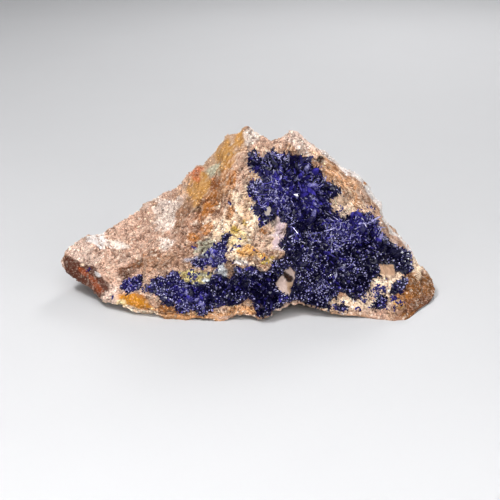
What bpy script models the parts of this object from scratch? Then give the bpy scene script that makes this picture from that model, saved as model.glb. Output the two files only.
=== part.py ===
"""An azurite specimen: a lump of iron-stained sandy rock with a druse of azurite crystals on its front.

Units in the tables are millimetres. X runs along the specimen, Y goes back from its azurite face and Z is up.
The rock's skin is a ring carried along X: at each station the ring starts under the rock, climbs the front,
crosses the ridge and comes down the back. Each azurite patch is one solid that lies on the rock.
"""

import math
import random

import bmesh
import bpy
import numpy as np
from mathutils import Vector
from mathutils.bvhtree import BVHTree
from mathutils.geometry import delaunay_2d_cdt

MM = 0.001

# ---------------------------------------------------------------- the rock's rails, (x, y, z) from tip to tip

LEFT_TIP = (-60.4, 2.0, 10.6)
RIGHT_TIP = (60.6, -3.0, 2.4)

RIDGE = [
    LEFT_TIP, (-60.0, 2, 12.4), (-58.1, 3, 14.6), (-54.1, 4, 17.6), (-52.0, 4, 19.0), (-47.3, 4, 19.2),
    (-44.6, 5, 21.6), (-36.7, 6, 25.1), (-34.6, 6, 26.4), (-33.6, 7, 28.4), (-28.6, 7, 31.0), (-22.0, 7, 35.2),
    (-18.5, 7, 39.2), (-16.6, 7, 41.7), (-13.9, 7, 42.0), (-10.5, 7, 45.9), (-8.2, 6, 50.3), (-6.4, 6, 51.9),
    (-3.6, 6, 52.6), (-0.6, 5, 55.2), (0.6, 5, 55.4), (2.2, 6, 53.3), (5.4, 7, 51.0), (7.5, 8, 49.2),
    (11.0, 8, 51.0), (13.2, 8, 53.0), (16.3, 8, 53.0), (19.1, 9, 50.2), (22.7, 10, 46.9), (24.6, 10, 45.7),
    (28.3, 10, 42.2), (31.4, 10, 38.9), (34.6, 10, 38.2), (37.2, 10, 36.0), (41.8, 10, 30.4), (43.8, 10, 28.4),
    (44.3, 10, 25.0), (47.0, 9, 20.0), (52.6, 7, 13.8), (57.4, 3, 7.7), (59.4, 0, 4.6), RIGHT_TIP,
]
TOE = [
    LEFT_TIP, (-60.1, 1, 8.8), (-58.1, -1, 7.0), (-55.3, -4, 6.2), (-49.1, -9, 4.5), (-47.2, -12, 3.8),
    (-45.4, -14, 2.2), (-40.2, -17, 3.1), (-38.0, -18, 2.2), (-29.8, -21, 2.2), (-25.6, -22, 0.6),
    (-19.4, -23, 0.2), (-14.0, -24, 0.6), (-9.0, -24, 0.0), (-6.2, -24, 0.1), (-3.6, -24, 1.3), (0.1, -24, 1.2),
    (4.3, -25, 0.8), (6.2, -25, 1.4), (8.5, -23, 2.9), (13.3, -21, 4.1), (17.6, -21, 3.4), (22.3, -22, 2.2),
    (29.6, -22, 0.8), (36.7, -22, 0.4), (45.3, -23.5, 0.0), (48.8, -22.5, 0.0), (51.7, -19.5, 0.1),
    (54.7, -14.5, 0.3), (57.6, -10, 0.5), (59.6, -6, 1.1), RIGHT_TIP,
]
SHOULDER = [
    LEFT_TIP, (-59.0, 7, 12.2), (-54.0, 12, 13.8), (-46.0, 16, 14.0), (-36.0, 17, 20.2), (-27.0, 20, 26.0),
    (-19.0, 21, 31.0), (-9.0, 19, 41.0), (0.0, 18, 44.0), (8.0, 21, 40.5), (16.0, 22, 42.5), (25.0, 24, 34.5),
    (34.0, 24, 27.5), (43.0, 21, 19.5), (51.0, 16, 10.6), (57.5, 8, 4.4), RIGHT_TIP,
]
HEEL = [
    LEFT_TIP, (-59.4, 7, 9.2), (-55.0, 13, 6.6), (-47.0, 20, 4.2), (-36.0, 24, 2.2), (-24.0, 29, 3.2),
    (-12.0, 30, 1.2), (0.0, 28, 2.6), (12.0, 31, 1.4), (24.0, 30, 2.6), (35.0, 30, 0.8), (46.0, 24, 2.0),
    (54.0, 15, 1.0), (59.0, 5, 1.2), RIGHT_TIP,
]
SOLE = [
    LEFT_TIP, (-59.2, 3, 8.2), (-54.0, 4, 5.4), (-44.0, 3, 2.2), (-30.0, 4, -0.6), (-12.0, 4, -0.9), (8.0, 5, -0.7),
    (30.0, 6, -0.9), (46.0, 3, -0.8), (56.0, 0, -0.5), (60.0, -2, 1.2), RIGHT_TIP,
]

# The point of the rails' frame that the part's origin is at: under the middle of its box, on the ground.
ORIGIN = (0.10, 2.79, 0.0)

# Where each rail stands on the ring, as a share of one turn that starts under the rock.
SOLE_TURN, TOE_TURN, RIDGE_TURN, SHOULDER_TURN, HEEL_TURN = 0.0, 0.14, 0.52, 0.70, 0.86
EDGE_ROUNDING = 0.007  # share of a turn over which the rails are rounded off

# Lumps and hollows of the front: (x, z, half width, half height, turn in degrees, how far it stands out).
FRONT_FORMS = {
    "fair swell of the whole face": (0.0, 20.0, 52.0, 20.0, 0, 3.4),
    "cream boss left of the azurite": (0.0, 27.0, 15.0, 11.0, 20, 3.6),
    "ledge under the cream boss": (3.0, 19.0, 11.0, 3.5, 0, 1.6),
    "hollow of the upper azurite": (19.0, 35.0, 17.0, 11.0, -28, -4.2),
    "hollow of the lower right azurite": (33.0, 17.0, 20.0, 8.0, -30, -3.0),
    "hollow of the lower left azurite": (-14.0, 10.0, 22.0, 4.5, -4, -2.2),
    "crest over the azurite": (31.0, 36.5, 24.0, 3.6, -47, 2.2),
    "island in the upper azurite": (30.5, 31.0, 4.5, 4.5, 0, 2.2),
    "knob at the right end": (50.0, 6.5, 7.5, 6.5, -20, 3.4),
    "lower lip": (-22.0, 3.0, 24.0, 2.2, 0, 1.4),
    "saddle of the left wing": (-46.0, 14.5, 6.0, 5.0, 30, -1.4),
    "spur below the peak": (-13.0, 38.0, 14.0, 5.0, 52, 2.6),
    "flank of the left wing": (-33.0, 17.0, 12.0, 7.0, 20, 2.0),
    "pale shelf of the left wing": (-27.5, 23.5, 5.0, 6.5, 0, 1.7),
    "brown trough beside the shelf": (-15.5, 26.0, 9.0, 4.0, 50, -2.4),
    "red facet at the left tip": (-51.0, 8.5, 7.0, 3.4, -30, -1.3),
    "dent above the vein": (-12.0, 19.5, 5.0, 2.6, 15, -1.2),
}

# Broken faces and roughness of the rock: (size of a feature, how far it stands out).
CHIPS, SMALL_CHIPS = (11.0, 2.6), (4.6, 1.1)
SWELL = (17.0, 1.3)
TIP_CALM = 1.6  # the smaller, the further the roughness fades out before a tip
RIDGE_RISE, RIDGE_RISE_SLOPE = 0.3, 14.0  # the most that it stands out on the ridge, and how that grows round the ring
RAIL_CALM, RAIL_CALM_WIDTH = 0.7, 0.03  # share of the roughness lost on the toe and the ridge, and how far round
ROCK_SEED = 7
FLAT_FOOT = 0.35  # the rock is worn flat up to this height, so that it stands

# ---------------------------------------------------------------- the azurite, outlines (x, z) on the front elevation

AZURITE_FIELD = [
    (0.9, 47.0), (2.3, 47.6), (3.3, 45.2), (4.8, 44.3), (5.8, 46.0), (8.8, 45.8), (10.0, 45.0), (13.8, 44.8),
    (19.6, 43.4), (20.7, 40.9), (23.4, 38.9), (24.6, 36.6), (27.3, 35.5), (30.3, 33.5), (27.7, 32.3), (26.0, 31.5),
    (26.1, 29.7), (27.0, 28.2), (29.4, 26.3), (31.4, 25.5), (33.3, 26.8), (36.4, 27.6), (40.7, 25.6), (41.1, 23.4),
    (44.9, 19.1), (47.8, 15.9), (50.3, 14.4), (52.2, 12.4), (52.6, 9.6), (50.3, 9.4), (49.2, 10.7), (47.2, 11.1),
    (47.2, 12.4), (41.9, 13.7), (41.9, 10.9), (38.8, 9.8), (38.1, 7.9), (35.4, 6.4), (32.8, 5.6), (31.1, 7.3),
    (29.0, 7.9), (27.9, 6.7), (25.4, 5.7), (24.8, 4.3), (25.9, 3.2), (23.4, 3.6), (20.3, 4.3), (17.5, 4.9),
    (15.2, 5.9), (13.6, 5.5), (11.9, 5.4), (10.2, 4.6), (8.5, 3.9), (6.6, 3.3), (5.6, 2.4), (4.2, 1.9), (2.6, 2.1),
    (2.3, 4.2), (1.7, 6.2), (0.0, 7.2), (-1.2, 6.4), (-4.0, 5.1), (-10.5, 4.7), (-10.9, 3.2), (-14.1, 1.9),
    (-15.5, 3.3), (-17.4, 3.7), (-20.1, 1.9), (-21.9, 2.9), (-22.1, 4.2), (-24.7, 4.3), (-28.4, 5.7), (-30.2, 6.8),
    (-29.8, 8.4), (-28.9, 9.8), (-26.8, 10.3), (-25.1, 9.9), (-24.7, 11.4), (-23.3, 12.6), (-21.2, 12.7),
    (-20.3, 10.1), (-16.0, 9.4), (-14.1, 9.6), (-11.8, 10.8), (-10.7, 12.7), (-9.6, 13.6), (-7.5, 13.1),
    (-5.8, 11.4), (-4.7, 13.1), (-3.7, 16.8), (-0.2, 17.5), (2.8, 17.0), (3.6, 15.0), (5.7, 15.1), (7.1, 16.1),
    (7.8, 17.9), (9.4, 18.5), (11.6, 18.4), (11.6, 20.2), (10.5, 22.8), (12.2, 23.3), (12.6, 25.3), (12.6, 27.5),
    (10.8, 28.6), (9.9, 30.3), (7.3, 29.0), (5.5, 28.2), (4.2, 29.0), (4.6, 30.6), (2.5, 31.7), (1.7, 33.1),
    (3.3, 33.8), (1.6, 36.0), (0.0, 38.0), (0.1, 39.0), (2.2, 39.2), (5.0, 38.5), (4.5, 40.1), (3.3, 41.6),
    (1.7, 42.4), (2.5, 43.4), (0.6, 45.1),
]
BARE_KITE = [
    (13.2, 16.0), (14.4, 14.4), (14.9, 12.6), (14.1, 10.8), (13.7, 8.2), (12.9, 6.9), (11.2, 7.8), (9.3, 9.6),
    (8.9, 11.4), (9.8, 12.6), (11.6, 14.9),
]
BARE_CHIP = [(5.9, 31.4), (6.3, 32.6), (7.4, 32.2), (7.8, 31.2), (7.8, 30.3), (6.8, 30.4)]
AZURITE_PATCHES = {
    "azurite_field": (AZURITE_FIELD, [BARE_KITE, BARE_CHIP]),
    "azurite_left_patch": ([
        (-41.0, 7.6), (-39.7, 8.4), (-38.8, 9.4), (-36.9, 10.0), (-34.8, 10.4), (-34.4, 11.3), (-32.9, 11.3),
        (-32.5, 10.1), (-33.6, 9.0), (-32.1, 8.1), (-33.5, 7.1), (-35.3, 6.3), (-36.4, 5.6), (-38.1, 6.1),
        (-38.7, 6.8),
    ], []),
    "azurite_vein": ([
        (-7.6, 25.1), (-6.7, 25.9), (-5.3, 25.7), (-5.3, 24.3), (-6.2, 22.8), (-5.9, 20.6), (-6.1, 19.4),
        (-7.1, 18.1), (-8.7, 16.9), (-11.4, 15.8), (-13.4, 15.0), (-15.8, 15.1), (-18.1, 15.7), (-14.9, 17.9),
        (-11.9, 17.8), (-10.1, 18.6), (-9.6, 20.1), (-9.2, 21.6), (-7.7, 23.4),
    ], []),
    "azurite_right_bar": ([
        (45.2, 7.3), (46.3, 8.4), (48.2, 8.7), (50.1, 8.7), (51.0, 7.9), (50.0, 7.0), (48.3, 6.6), (46.7, 6.5),
    ], []),
    "azurite_right_patch": ([
        (40.5, 5.8), (41.6, 6.9), (43.4, 6.5), (43.4, 5.1), (42.6, 4.4), (42.9, 3.2), (41.0, 2.6), (38.8, 3.1),
        (39.3, 4.2), (40.6, 4.4),
    ], []),
    "azurite_toe_patch": ([
        (27.5, 3.9), (29.6, 4.4), (31.3, 3.8), (30.9, 2.7), (29.0, 2.3), (27.6, 2.6),
    ], []),
}

BED_DEPTH = 1.3  # how far the rock is worn down under the middle of a patch
BED_SLOPE = 3.0  # over what width that depth is reached
GAP = 0.5  # between a patch and the rock that carries it
CRUST = 0.75  # thickness of a patch where its crystals start
CRYSTAL_HEIGHT = (0.8, 1.9)
BLADE_HEIGHT = 0.9  # added to the crystals high up on the face, which are blades
BLADES_FROM, BLADES_FULL = 17.0, 33.0  # the heights between which crystals turn into blades
CRYSTAL_LEAN = 0.45
TWIN_SHARE, BLADE_TWIN_SHARE = 0.3, 0.85  # of the crystals, those that end in a ridge and not in a point
CRYSTAL_SEED = 21
CRYSTAL_DRAWS = 12  # how often at most the crystals of a patch are drawn
SHORTENED, SHORTENINGS = 0.8, 8  # what is left of a crystal that would pass through another, and how often at most

ROCK_SPACING, AZURITE_SPACING = 3.3, 1.75
SPOT_SPACING = 1.15  # in the small patches
SOWING_SEED = 3

# ---------------------------------------------------------------- noise


def chance(cells, seed):
    """A fixed number from 0 to 1 for each whole-number cell (..., 3)."""
    mixed = cells[..., 0] * 73856093 ^ cells[..., 1] * 19349663 ^ cells[..., 2] * 83492791
    mixed = (mixed + seed * 974711) & 0xFFFFFFFF
    mixed = ((mixed ^ (mixed >> 15)) * 2246822519) & 0xFFFFFFFF
    mixed = ((mixed ^ (mixed >> 13)) * 3266489917) & 0xFFFFFFFF
    return ((mixed ^ (mixed >> 16)) & 0xFFFFFFFF) / 4294967296.0


def soft_noise(points, size, seed):
    """Smooth noise from -1 to 1 whose lumps are about size wide: chances at a cubic lattice, faded together."""
    scaled = points / size
    cell = np.floor(scaled).astype(np.int64)
    share = scaled - cell
    share = share * share * (3 - 2 * share)
    total = 0.0
    for corner in np.ndindex(2, 2, 2):
        weight = np.prod(np.where(corner, share, 1 - share), axis=-1)
        total = total + weight * chance(cell + np.array(corner), seed)
    return 2 * total - 1


def chip_noise(points, size, seed):
    """Flat broken faces: each point takes the tilted plane of its nearest seed, about size from the next."""
    scaled = points / size
    cell = np.floor(scaled).astype(np.int64)
    total = np.zeros(points.shape[:-1])
    weights = np.zeros(points.shape[:-1])
    for step in np.ndindex(3, 3, 3):
        near = cell + np.array(step) - 1
        jitter = np.stack([chance(near, seed + k) for k in range(3)], axis=-1)
        tilt = np.stack([chance(near, seed + 3 + k) for k in range(3)], axis=-1) * 2 - 1
        away = scaled - near - jitter
        nearness = np.exp(-14.0 * np.linalg.norm(away, axis=-1))
        total += nearness * ((away * tilt).sum(-1) + 0.5 * (chance(near, seed + 6) * 2 - 1))
        weights += nearness
    return total / weights


# ---------------------------------------------------------------- the rock's skin


def station(u):
    """The x of each share u of the way from tip to tip, closer together towards the tips."""
    return LEFT_TIP[0] + (RIGHT_TIP[0] - LEFT_TIP[0]) * (1 - np.cos(np.pi * u)) / 2


def rail_at(rail, x):
    """(y, z) of a rail at each x."""
    table = np.array(rail)
    return np.stack([np.interp(x, table[:, 0], table[:, k]) for k in (1, 2)], axis=-1)


def front_relief(x, z):
    """How far the lumps and hollows of the front stand out at (x, z) of the front elevation."""
    out = np.zeros(np.shape(x))
    for cx, cz, half_x, half_z, turn, height in FRONT_FORMS.values():
        c, s = math.cos(math.radians(turn)), math.sin(math.radians(turn))
        along = ((x - cx) * c + (z - cz) * s) / half_x
        across = (-(x - cx) * s + (z - cz) * c) / half_z
        out = out + height * np.exp(-((along**2 + across**2) ** 1.5))
    return out


def sharp_skin(x, v):
    """The skin with straight stretches from rail to rail, and the front's lumps and hollows."""
    turns = [SOLE_TURN, TOE_TURN, RIDGE_TURN, SHOULDER_TURN, HEEL_TURN, 1.0]
    rails = [rail_at(rail, x) for rail in (SOLE, TOE, RIDGE, SHOULDER, HEEL, SOLE)]
    v = v % 1.0
    yz = np.zeros(np.shape(x) + (2,))
    for k in range(5):
        share = np.clip((v - turns[k]) / (turns[k + 1] - turns[k]), 0, 1)[..., None]
        here = ((v >= turns[k]) & (v < turns[k + 1]))[..., None]
        yz = np.where(here, rails[k] * (1 - share) + rails[k + 1] * share, yz)
    front = np.clip((v - TOE_TURN) / (RIDGE_TURN - TOE_TURN), 0, 1)
    fade = np.clip(4 * front * (1 - front) * 1.8, 0, 1)
    y = yz[..., 0] - fade * front_relief(x, yz[..., 1])
    return np.stack([x, y, yz[..., 1]], axis=-1)


def smooth_skin(u, v):
    """The skin with its rails rounded off: the mean of five points round the ring."""
    x = station(u)
    return sum(sharp_skin(x, v + k * EDGE_ROUNDING / 2) for k in range(-2, 3)) / 5


def skin_normal(u, v):
    """Outward normal of the smooth skin, from its slopes along and round the rock."""
    du, dv = 0.004, 0.006
    along = smooth_skin(np.minimum(u + du, 1), v) - smooth_skin(np.maximum(u - du, 0), v)
    round_ring = smooth_skin(u, v + dv) - smooth_skin(u, v - dv)
    normal = np.cross(along, round_ring)
    length = np.linalg.norm(normal, axis=-1, keepdims=True)
    tip = np.stack([np.where(u < 0.5, -1.0, 1.0), 0 * u, 0 * u], axis=-1)
    return np.where(length > 1e-6, normal / np.maximum(length, 1e-6), tip)


def roughness(points):
    """How far the broken surface stands out from the smooth skin."""
    return (
        CHIPS[1] * chip_noise(points, CHIPS[0], ROCK_SEED)
        + SMALL_CHIPS[1] * chip_noise(points, SMALL_CHIPS[0], ROCK_SEED + 20)
        + SWELL[1] * soft_noise(points, SWELL[0], ROCK_SEED + 40)
    )


def broken_skin(u, v):
    """The rock's surface: the smooth skin and its roughness, worn flat where it stands."""
    points, normals = smooth_skin(u, v), skin_normal(u, v)
    calm = sum(np.exp(-(((v - turn) / RAIL_CALM_WIDTH) ** 2)) for turn in (TOE_TURN, RIDGE_TURN))
    out = roughness(points) * (1 - RAIL_CALM * calm) * np.clip(np.sin(np.pi * u) * TIP_CALM, 0, 1)
    from_ridge = np.maximum(np.abs(v - RIDGE_TURN) - 0.025, 0)
    out = np.minimum(out, RIDGE_RISE + RIDGE_RISE_SLOPE * from_ridge)
    points = points + normals * out[..., None]
    low = points[..., 2] < FLAT_FOOT
    points[..., 2] = np.where(low, 0.0, points[..., 2])
    return points, normals


# ---------------------------------------------------------------- the unrolled skin, on which triangles are laid out


class UnrolledSkin:
    """The skin laid flat: along is the way from the left tip, and across is the way round from the ridge."""

    def __init__(self, steps=600, turns=180):
        self.u = np.linspace(0, 1, steps)
        v = np.linspace(0, 1, turns + 1)
        rings = smooth_skin(*np.meshgrid(self.u, v, indexing="ij"))
        self.girth = np.linalg.norm(np.diff(rings, axis=1), axis=-1).sum(1)
        self.girth[[0, -1]] = 0.0
        way = np.hypot(np.diff(station(self.u)), np.diff(self.girth) / (2 * math.pi))
        self.along = np.concatenate([[0.0], np.cumsum(way)])
        self.length = self.along[-1]

    def place(self, u, v):
        """(along, across) of a point of the skin."""
        return float(np.interp(u, self.u, self.along)), (v - 0.5) * float(np.interp(u, self.u, self.girth))

    def holds(self, along, across):
        """Whether a point lies on the unrolled skin, not beyond its edge."""
        girth = float(np.interp(along, self.along, self.girth))
        return abs(across) < girth / 2


def station_of(x):
    """The station u at x along the specimen."""
    share = (x - LEFT_TIP[0]) / (RIGHT_TIP[0] - LEFT_TIP[0])
    return math.acos(1 - 2 * share) / math.pi


def elevation_to_skin(x, z):
    """(u, v) of the point of the front that shows at (x, z) of the front elevation."""
    toe, ridge = rail_at(TOE, x)[1], rail_at(RIDGE, x)[1]
    height = min(max((z - toe) / (ridge - toe), 0.0), 1.0)
    return station_of(x), TOE_TURN + height * (RIDGE_TURN - TOE_TURN)


def edge_distance(point, outline):
    """(distance to the outline, whether the point is inside)."""
    x, z = point
    nearest, inside = 1e9, False
    for (ax, az), (bx, bz) in zip(outline, outline[1:] + outline[:1]):
        if (az > z) != (bz > z) and x < (bx - ax) * (z - az) / (bz - az) + ax:
            inside = not inside
        share = ((x - ax) * (bx - ax) + (z - az) * (bz - az)) / max((bx - ax) ** 2 + (bz - az) ** 2, 1e-9)
        share = min(max(share, 0.0), 1.0)
        nearest = min(nearest, math.hypot(x - ax - share * (bx - ax), z - az - share * (bz - az)))
    return nearest, inside


def depth_inside(point, patch):
    """How far inside a patch a point of its flat drawing lies; negative outside it and in its bare spots."""
    outline, holes = patch
    distance, inside = edge_distance(point, outline)
    depth = distance if inside else -distance
    for hole in holes:
        distance, inside = edge_distance(point, hole)
        depth = min(depth, -distance if inside else distance)
    return depth


def subdivided(outline, spacing):
    """The outline with points added so that none is further than spacing from the next."""
    points = []
    for (ax, ay), (bx, by) in zip(outline, outline[1:] + outline[:1]):
        count = max(1, round(math.hypot(bx - ax, by - ay) / spacing))
        points += [(ax + (bx - ax) * k / count, ay + (by - ay) * k / count) for k in range(count)]
    return points


def rail_points(unrolled, rail, turn):
    """The rail's own points on the unrolled skin, without its ends."""
    return [unrolled.place(station_of(x), turn) for x, _, _ in rail[1:-1]]


def sow(unrolled, patches, rails):
    """Points of the unrolled skin: its edge, loose points on the rock and closer ones on the azurite."""
    rng = random.Random(SOWING_SEED)
    rows = max(2, round(unrolled.length / ROCK_SPACING))
    stations = [unrolled.length * k / rows for k in range(1, rows)]
    girths = [float(np.interp(a, unrolled.along, unrolled.girth)) for a in stations]
    edge = [(0.0, 0.0)] + [(a, -g / 2) for a, g in zip(stations, girths)]
    edge += [(unrolled.length, 0.0)] + [(a, g / 2) for a, g in zip(stations[::-1], girths[::-1])]
    loose = []
    for row, (a, girth) in enumerate(zip(stations, girths)):
        count = max(5, round(girth / ROCK_SPACING))
        for k in range(1, count):
            across = girth * ((k + 0.5 * (row % 2) - 0.25) / count - 0.5)
            point = (a + rng.uniform(-0.3, 0.3) * ROCK_SPACING, across + rng.uniform(-0.3, 0.3) * ROCK_SPACING)
            if not unrolled.holds(*point):
                continue
            clear_of_rails = all(math.dist(point, p) > 0.55 * ROCK_SPACING for rail in rails for p in rail)
            clear_of_azurite = all(depth_inside(point, p) < -0.45 * ROCK_SPACING for p in patches.values())
            if clear_of_rails and clear_of_azurite:
                loose.append(point)
    for patch in patches.values():
        spacing = AZURITE_SPACING if len(patch[0]) > 60 else SPOT_SPACING
        low = [min(p[k] for p in patch[0]) for k in (0, 1)]
        high = [max(p[k] for p in patch[0]) for k in (0, 1)]
        row_step = spacing * math.sqrt(3) / 2
        for row in range(int((high[1] - low[1]) / row_step) + 2):
            for k in range(int((high[0] - low[0]) / spacing) + 2):
                point = (
                    low[0] + (k + 0.5 * (row % 2)) * spacing + rng.uniform(-0.22, 0.22) * spacing,
                    low[1] + row * row_step + rng.uniform(-0.22, 0.22) * spacing,
                )
                if depth_inside(point, patch) > 0.5 * spacing:
                    loose.append(point)
    return edge, loose


def lay_triangles(unrolled, patches):
    """The triangles of the unrolled skin, with every outline as an edge: (points, triangles, their patches)."""
    rails = [rail_points(unrolled, RIDGE, RIDGE_TURN), rail_points(unrolled, TOE, TOE_TURN)]
    edge, loose = sow(unrolled, patches, rails)
    points = list(edge)
    lines = [(k, (k + 1) % len(edge)) for k in range(len(edge))]
    for rail in rails:
        lines += [(len(points) + k, len(points) + k + 1) for k in range(len(rail) - 1)]
        points += rail
    for outline, holes in patches.values():
        for ring in [outline, *holes]:
            first = len(points)
            points += ring
            lines += [(first + k, first + (k + 1) % len(ring)) for k in range(len(ring))]
    points += loose
    whole = [list(range(len(edge)))]
    laid = delaunay_2d_cdt([Vector(p) for p in points], lines, whole, 1, 1e-4)
    points, triangles = [tuple(p) for p in laid[0]], [tuple(t) for t in laid[2]]
    owners = []
    for triangle in triangles:
        middle = tuple(sum(points[k][axis] for k in triangle) / 3 for axis in (0, 1))
        inside = [name for name, patch in patches.items() if depth_inside(middle, patch) > 0]
        owners.append(inside[0] if inside else "matrix")
    return points, triangles, owners


def joined_under(u, v, triangles):
    """The triangles with the two edges of the unrolled skin, which meet under the rock, made one."""
    first = {}
    same = [first.setdefault(a, k) if b in (0.0, 1.0) else k for k, (a, b) in enumerate(zip(u, v))]
    return [tuple(same[k] for k in triangle) for triangle in triangles]


def evened(points, on_rail, triangles, owners):
    """The triangles with edges turned so that they are less thin, but none of a patch's edge or of a rail."""
    names = sorted(set(owners))
    shape = bmesh.new()
    corners = [shape.verts.new(p) for p in points]
    shape.verts.index_update()
    for triangle, owner in zip(triangles, owners):
        shape.faces.new([corners[k] for k in triangle]).material_index = names.index(owner)
    free = [
        edge for edge in shape.edges
        if len({face.material_index for face in edge.link_faces}) == 1
        and not all(on_rail[corner.index] for corner in edge.verts)
    ]
    bmesh.ops.beautify_fill(shape, faces=shape.faces, edges=free, method="ANGLE")
    turned = [tuple(corner.index for corner in face.verts) for face in shape.faces]
    kept = [names[face.material_index] for face in shape.faces]
    shape.free()
    return turned, kept


def facing(points, triangles):
    """The way out at each point: the mean of the triangles round it, larger ones counting more."""
    corners = np.array(triangles)
    a, b, c = (points[corners[:, k]] for k in range(3))
    across = np.cross(b - a, c - a)
    total = np.zeros_like(points)
    for k in range(3):
        np.add.at(total, corners[:, k], across)
    return total / np.maximum(np.linalg.norm(total, axis=1), 1e-9)[:, None]


# ---------------------------------------------------------------- solids


def make_object(name, points, faces, material):
    """A flat-shaded object of these points (millimetres) and faces, its faces turned outwards."""
    mesh = bpy.data.meshes.new(name)
    mesh.from_pydata([tuple((c - o) * MM for c, o in zip(p, ORIGIN)) for p in points], [], faces)
    shape = bmesh.new()
    shape.from_mesh(mesh)
    bmesh.ops.remove_doubles(shape, verts=shape.verts, dist=1e-6)
    bmesh.ops.recalc_face_normals(shape, faces=shape.faces)
    shape.to_mesh(mesh)
    shape.free()
    mesh.materials.append(material)
    obj = bpy.data.objects.new(name, mesh)
    bpy.context.scene.collection.objects.link(obj)
    return obj


def make_material(name, colour, roughness_value, metallic=0.0):
    material = bpy.data.materials.new(name)
    material.use_nodes = True
    shader = material.node_tree.nodes["Principled BSDF"]
    shader.inputs["Base Color"].default_value = (*colour, 1.0)
    shader.inputs["Roughness"].default_value = roughness_value
    shader.inputs["Metallic"].default_value = metallic
    material.diffuse_color = (*colour, 1.0)
    return material


def crystal_tips(triangles, inner, blades, rng):
    """Picks the points that crystals grow from, none next to another crystal's: {point: number of its crystal}."""
    near = {}
    for triangle in triangles:
        for k in triangle:
            near.setdefault(k, set()).update(triangle)
    order = sorted(inner)
    rng.shuffle(order)
    tips = {}
    for crystal, k in enumerate(order):
        if any(n in tips for n in near[k]):
            continue
        tips[k] = crystal
        twins = [n for n in sorted(near[k] & inner) if n != k and not (near[n] - near[k]) & set(tips)]
        if twins and rng.random() < TWIN_SHARE + (BLADE_TWIN_SHARE - TWIN_SHARE) * blades[k]:
            tips[rng.choice(twins)] = crystal
    return tips


def make_rock(points, triangles, material):
    """The rock, one closed solid."""
    used = sorted({k for triangle in triangles for k in triangle})
    place = {k: n for n, k in enumerate(used)}
    faces = [tuple(place[k] for k in triangle) for triangle in triangles]
    return make_object("matrix", [points[k] for k in used], faces, material)


def passing(points, faces):
    """The pairs of faces that pass through each other, though they share no point."""
    tree = BVHTree.FromPolygons([tuple(p) for p in points], faces)
    return [(a, b) for a, b in tree.overlap(tree) if a < b and not set(faces[a]) & set(faces[b])]


def patch_faces(triangles, place, count):
    """The faces of a patch: its top, the same triangles turned over for its underside, and walls between them."""
    faces = [tuple(place[k] + count for k in triangle) for triangle in triangles]
    faces += [tuple(place[k] for k in reversed(triangle)) for triangle in triangles]
    sides = {(a, b) for triangle in triangles for a, b in zip(triangle, triangle[1:] + triangle[:1])}
    for a, b in sorted(sides):
        if (b, a) not in sides:
            faces.append((place[b] + count, place[a] + count, place[a], place[b]))
    return faces


def make_patch(name, triangles, bed, normals, depth, material):
    """One azurite patch: an underside that follows the rock at a gap, and a top of flat-faced crystals.

    The crystals are drawn several times over, and each time those that pass through another face are made shorter
    bit by bit. Of all of these the patch with the fewest such faces is made.
    """
    used = sorted({k for triangle in triangles for k in triangle})
    inner = {k for k in used if depth[k] > 1e-3}
    blades = np.clip((bed[:, 2] - BLADES_FROM) / (BLADES_FULL - BLADES_FROM), 0, 1)
    count = len(used)
    faces = patch_faces(triangles, {k: n for n, k in enumerate(used)}, count)
    foot = bed[used] + normals[used] * GAP
    deep = np.array([depth[k] for k in used])
    base = CRUST + np.clip(deep * BED_DEPTH / BED_SLOPE, 0, BED_DEPTH) * 0.8
    fewest, best = math.inf, None
    for draw in range(CRYSTAL_DRAWS):
        rng = random.Random(CRYSTAL_SEED + len(triangles) + draw * 1000)
        tips = crystal_tips(triangles, inner, blades, rng)
        heights = {crystal: rng.uniform(*CRYSTAL_HEIGHT) for crystal in sorted(set(tips.values()))}
        leans = {crystal: [rng.uniform(-CRYSTAL_LEAN, CRYSTAL_LEAN) for _ in range(3)] for crystal in heights}
        grown = dict.fromkeys(heights, 1.0)
        for _ in range(SHORTENINGS):
            rise, lean = base.copy(), np.zeros((count, 3))
            for n, k in enumerate(used):
                if k in tips:
                    share = min(1.0, 0.35 + depth[k] / 3.0) * grown[tips[k]]
                    rise[n] += (heights[tips[k]] + BLADE_HEIGHT * blades[k]) * share
                    lean[n] = np.array(leans[tips[k]]) * share
            points = np.concatenate([foot, foot + normals[used] * rise[:, None] + lean])
            points[:, 2] = np.maximum(points[:, 2], FLAT_FOOT + GAP)
            pairs = passing(points, faces)
            if len(pairs) < fewest:
                fewest, best = len(pairs), points
            met = {n - count for pair in pairs for face in pair for n in faces[face] if n >= count}
            crossed = {tips[used[n]] for n in met if used[n] in tips}
            if not crossed:
                break
            for crystal in crossed:
                grown[crystal] *= SHORTENED
        if not fewest:
            break
    return make_object(name, list(best), faces, material)


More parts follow.
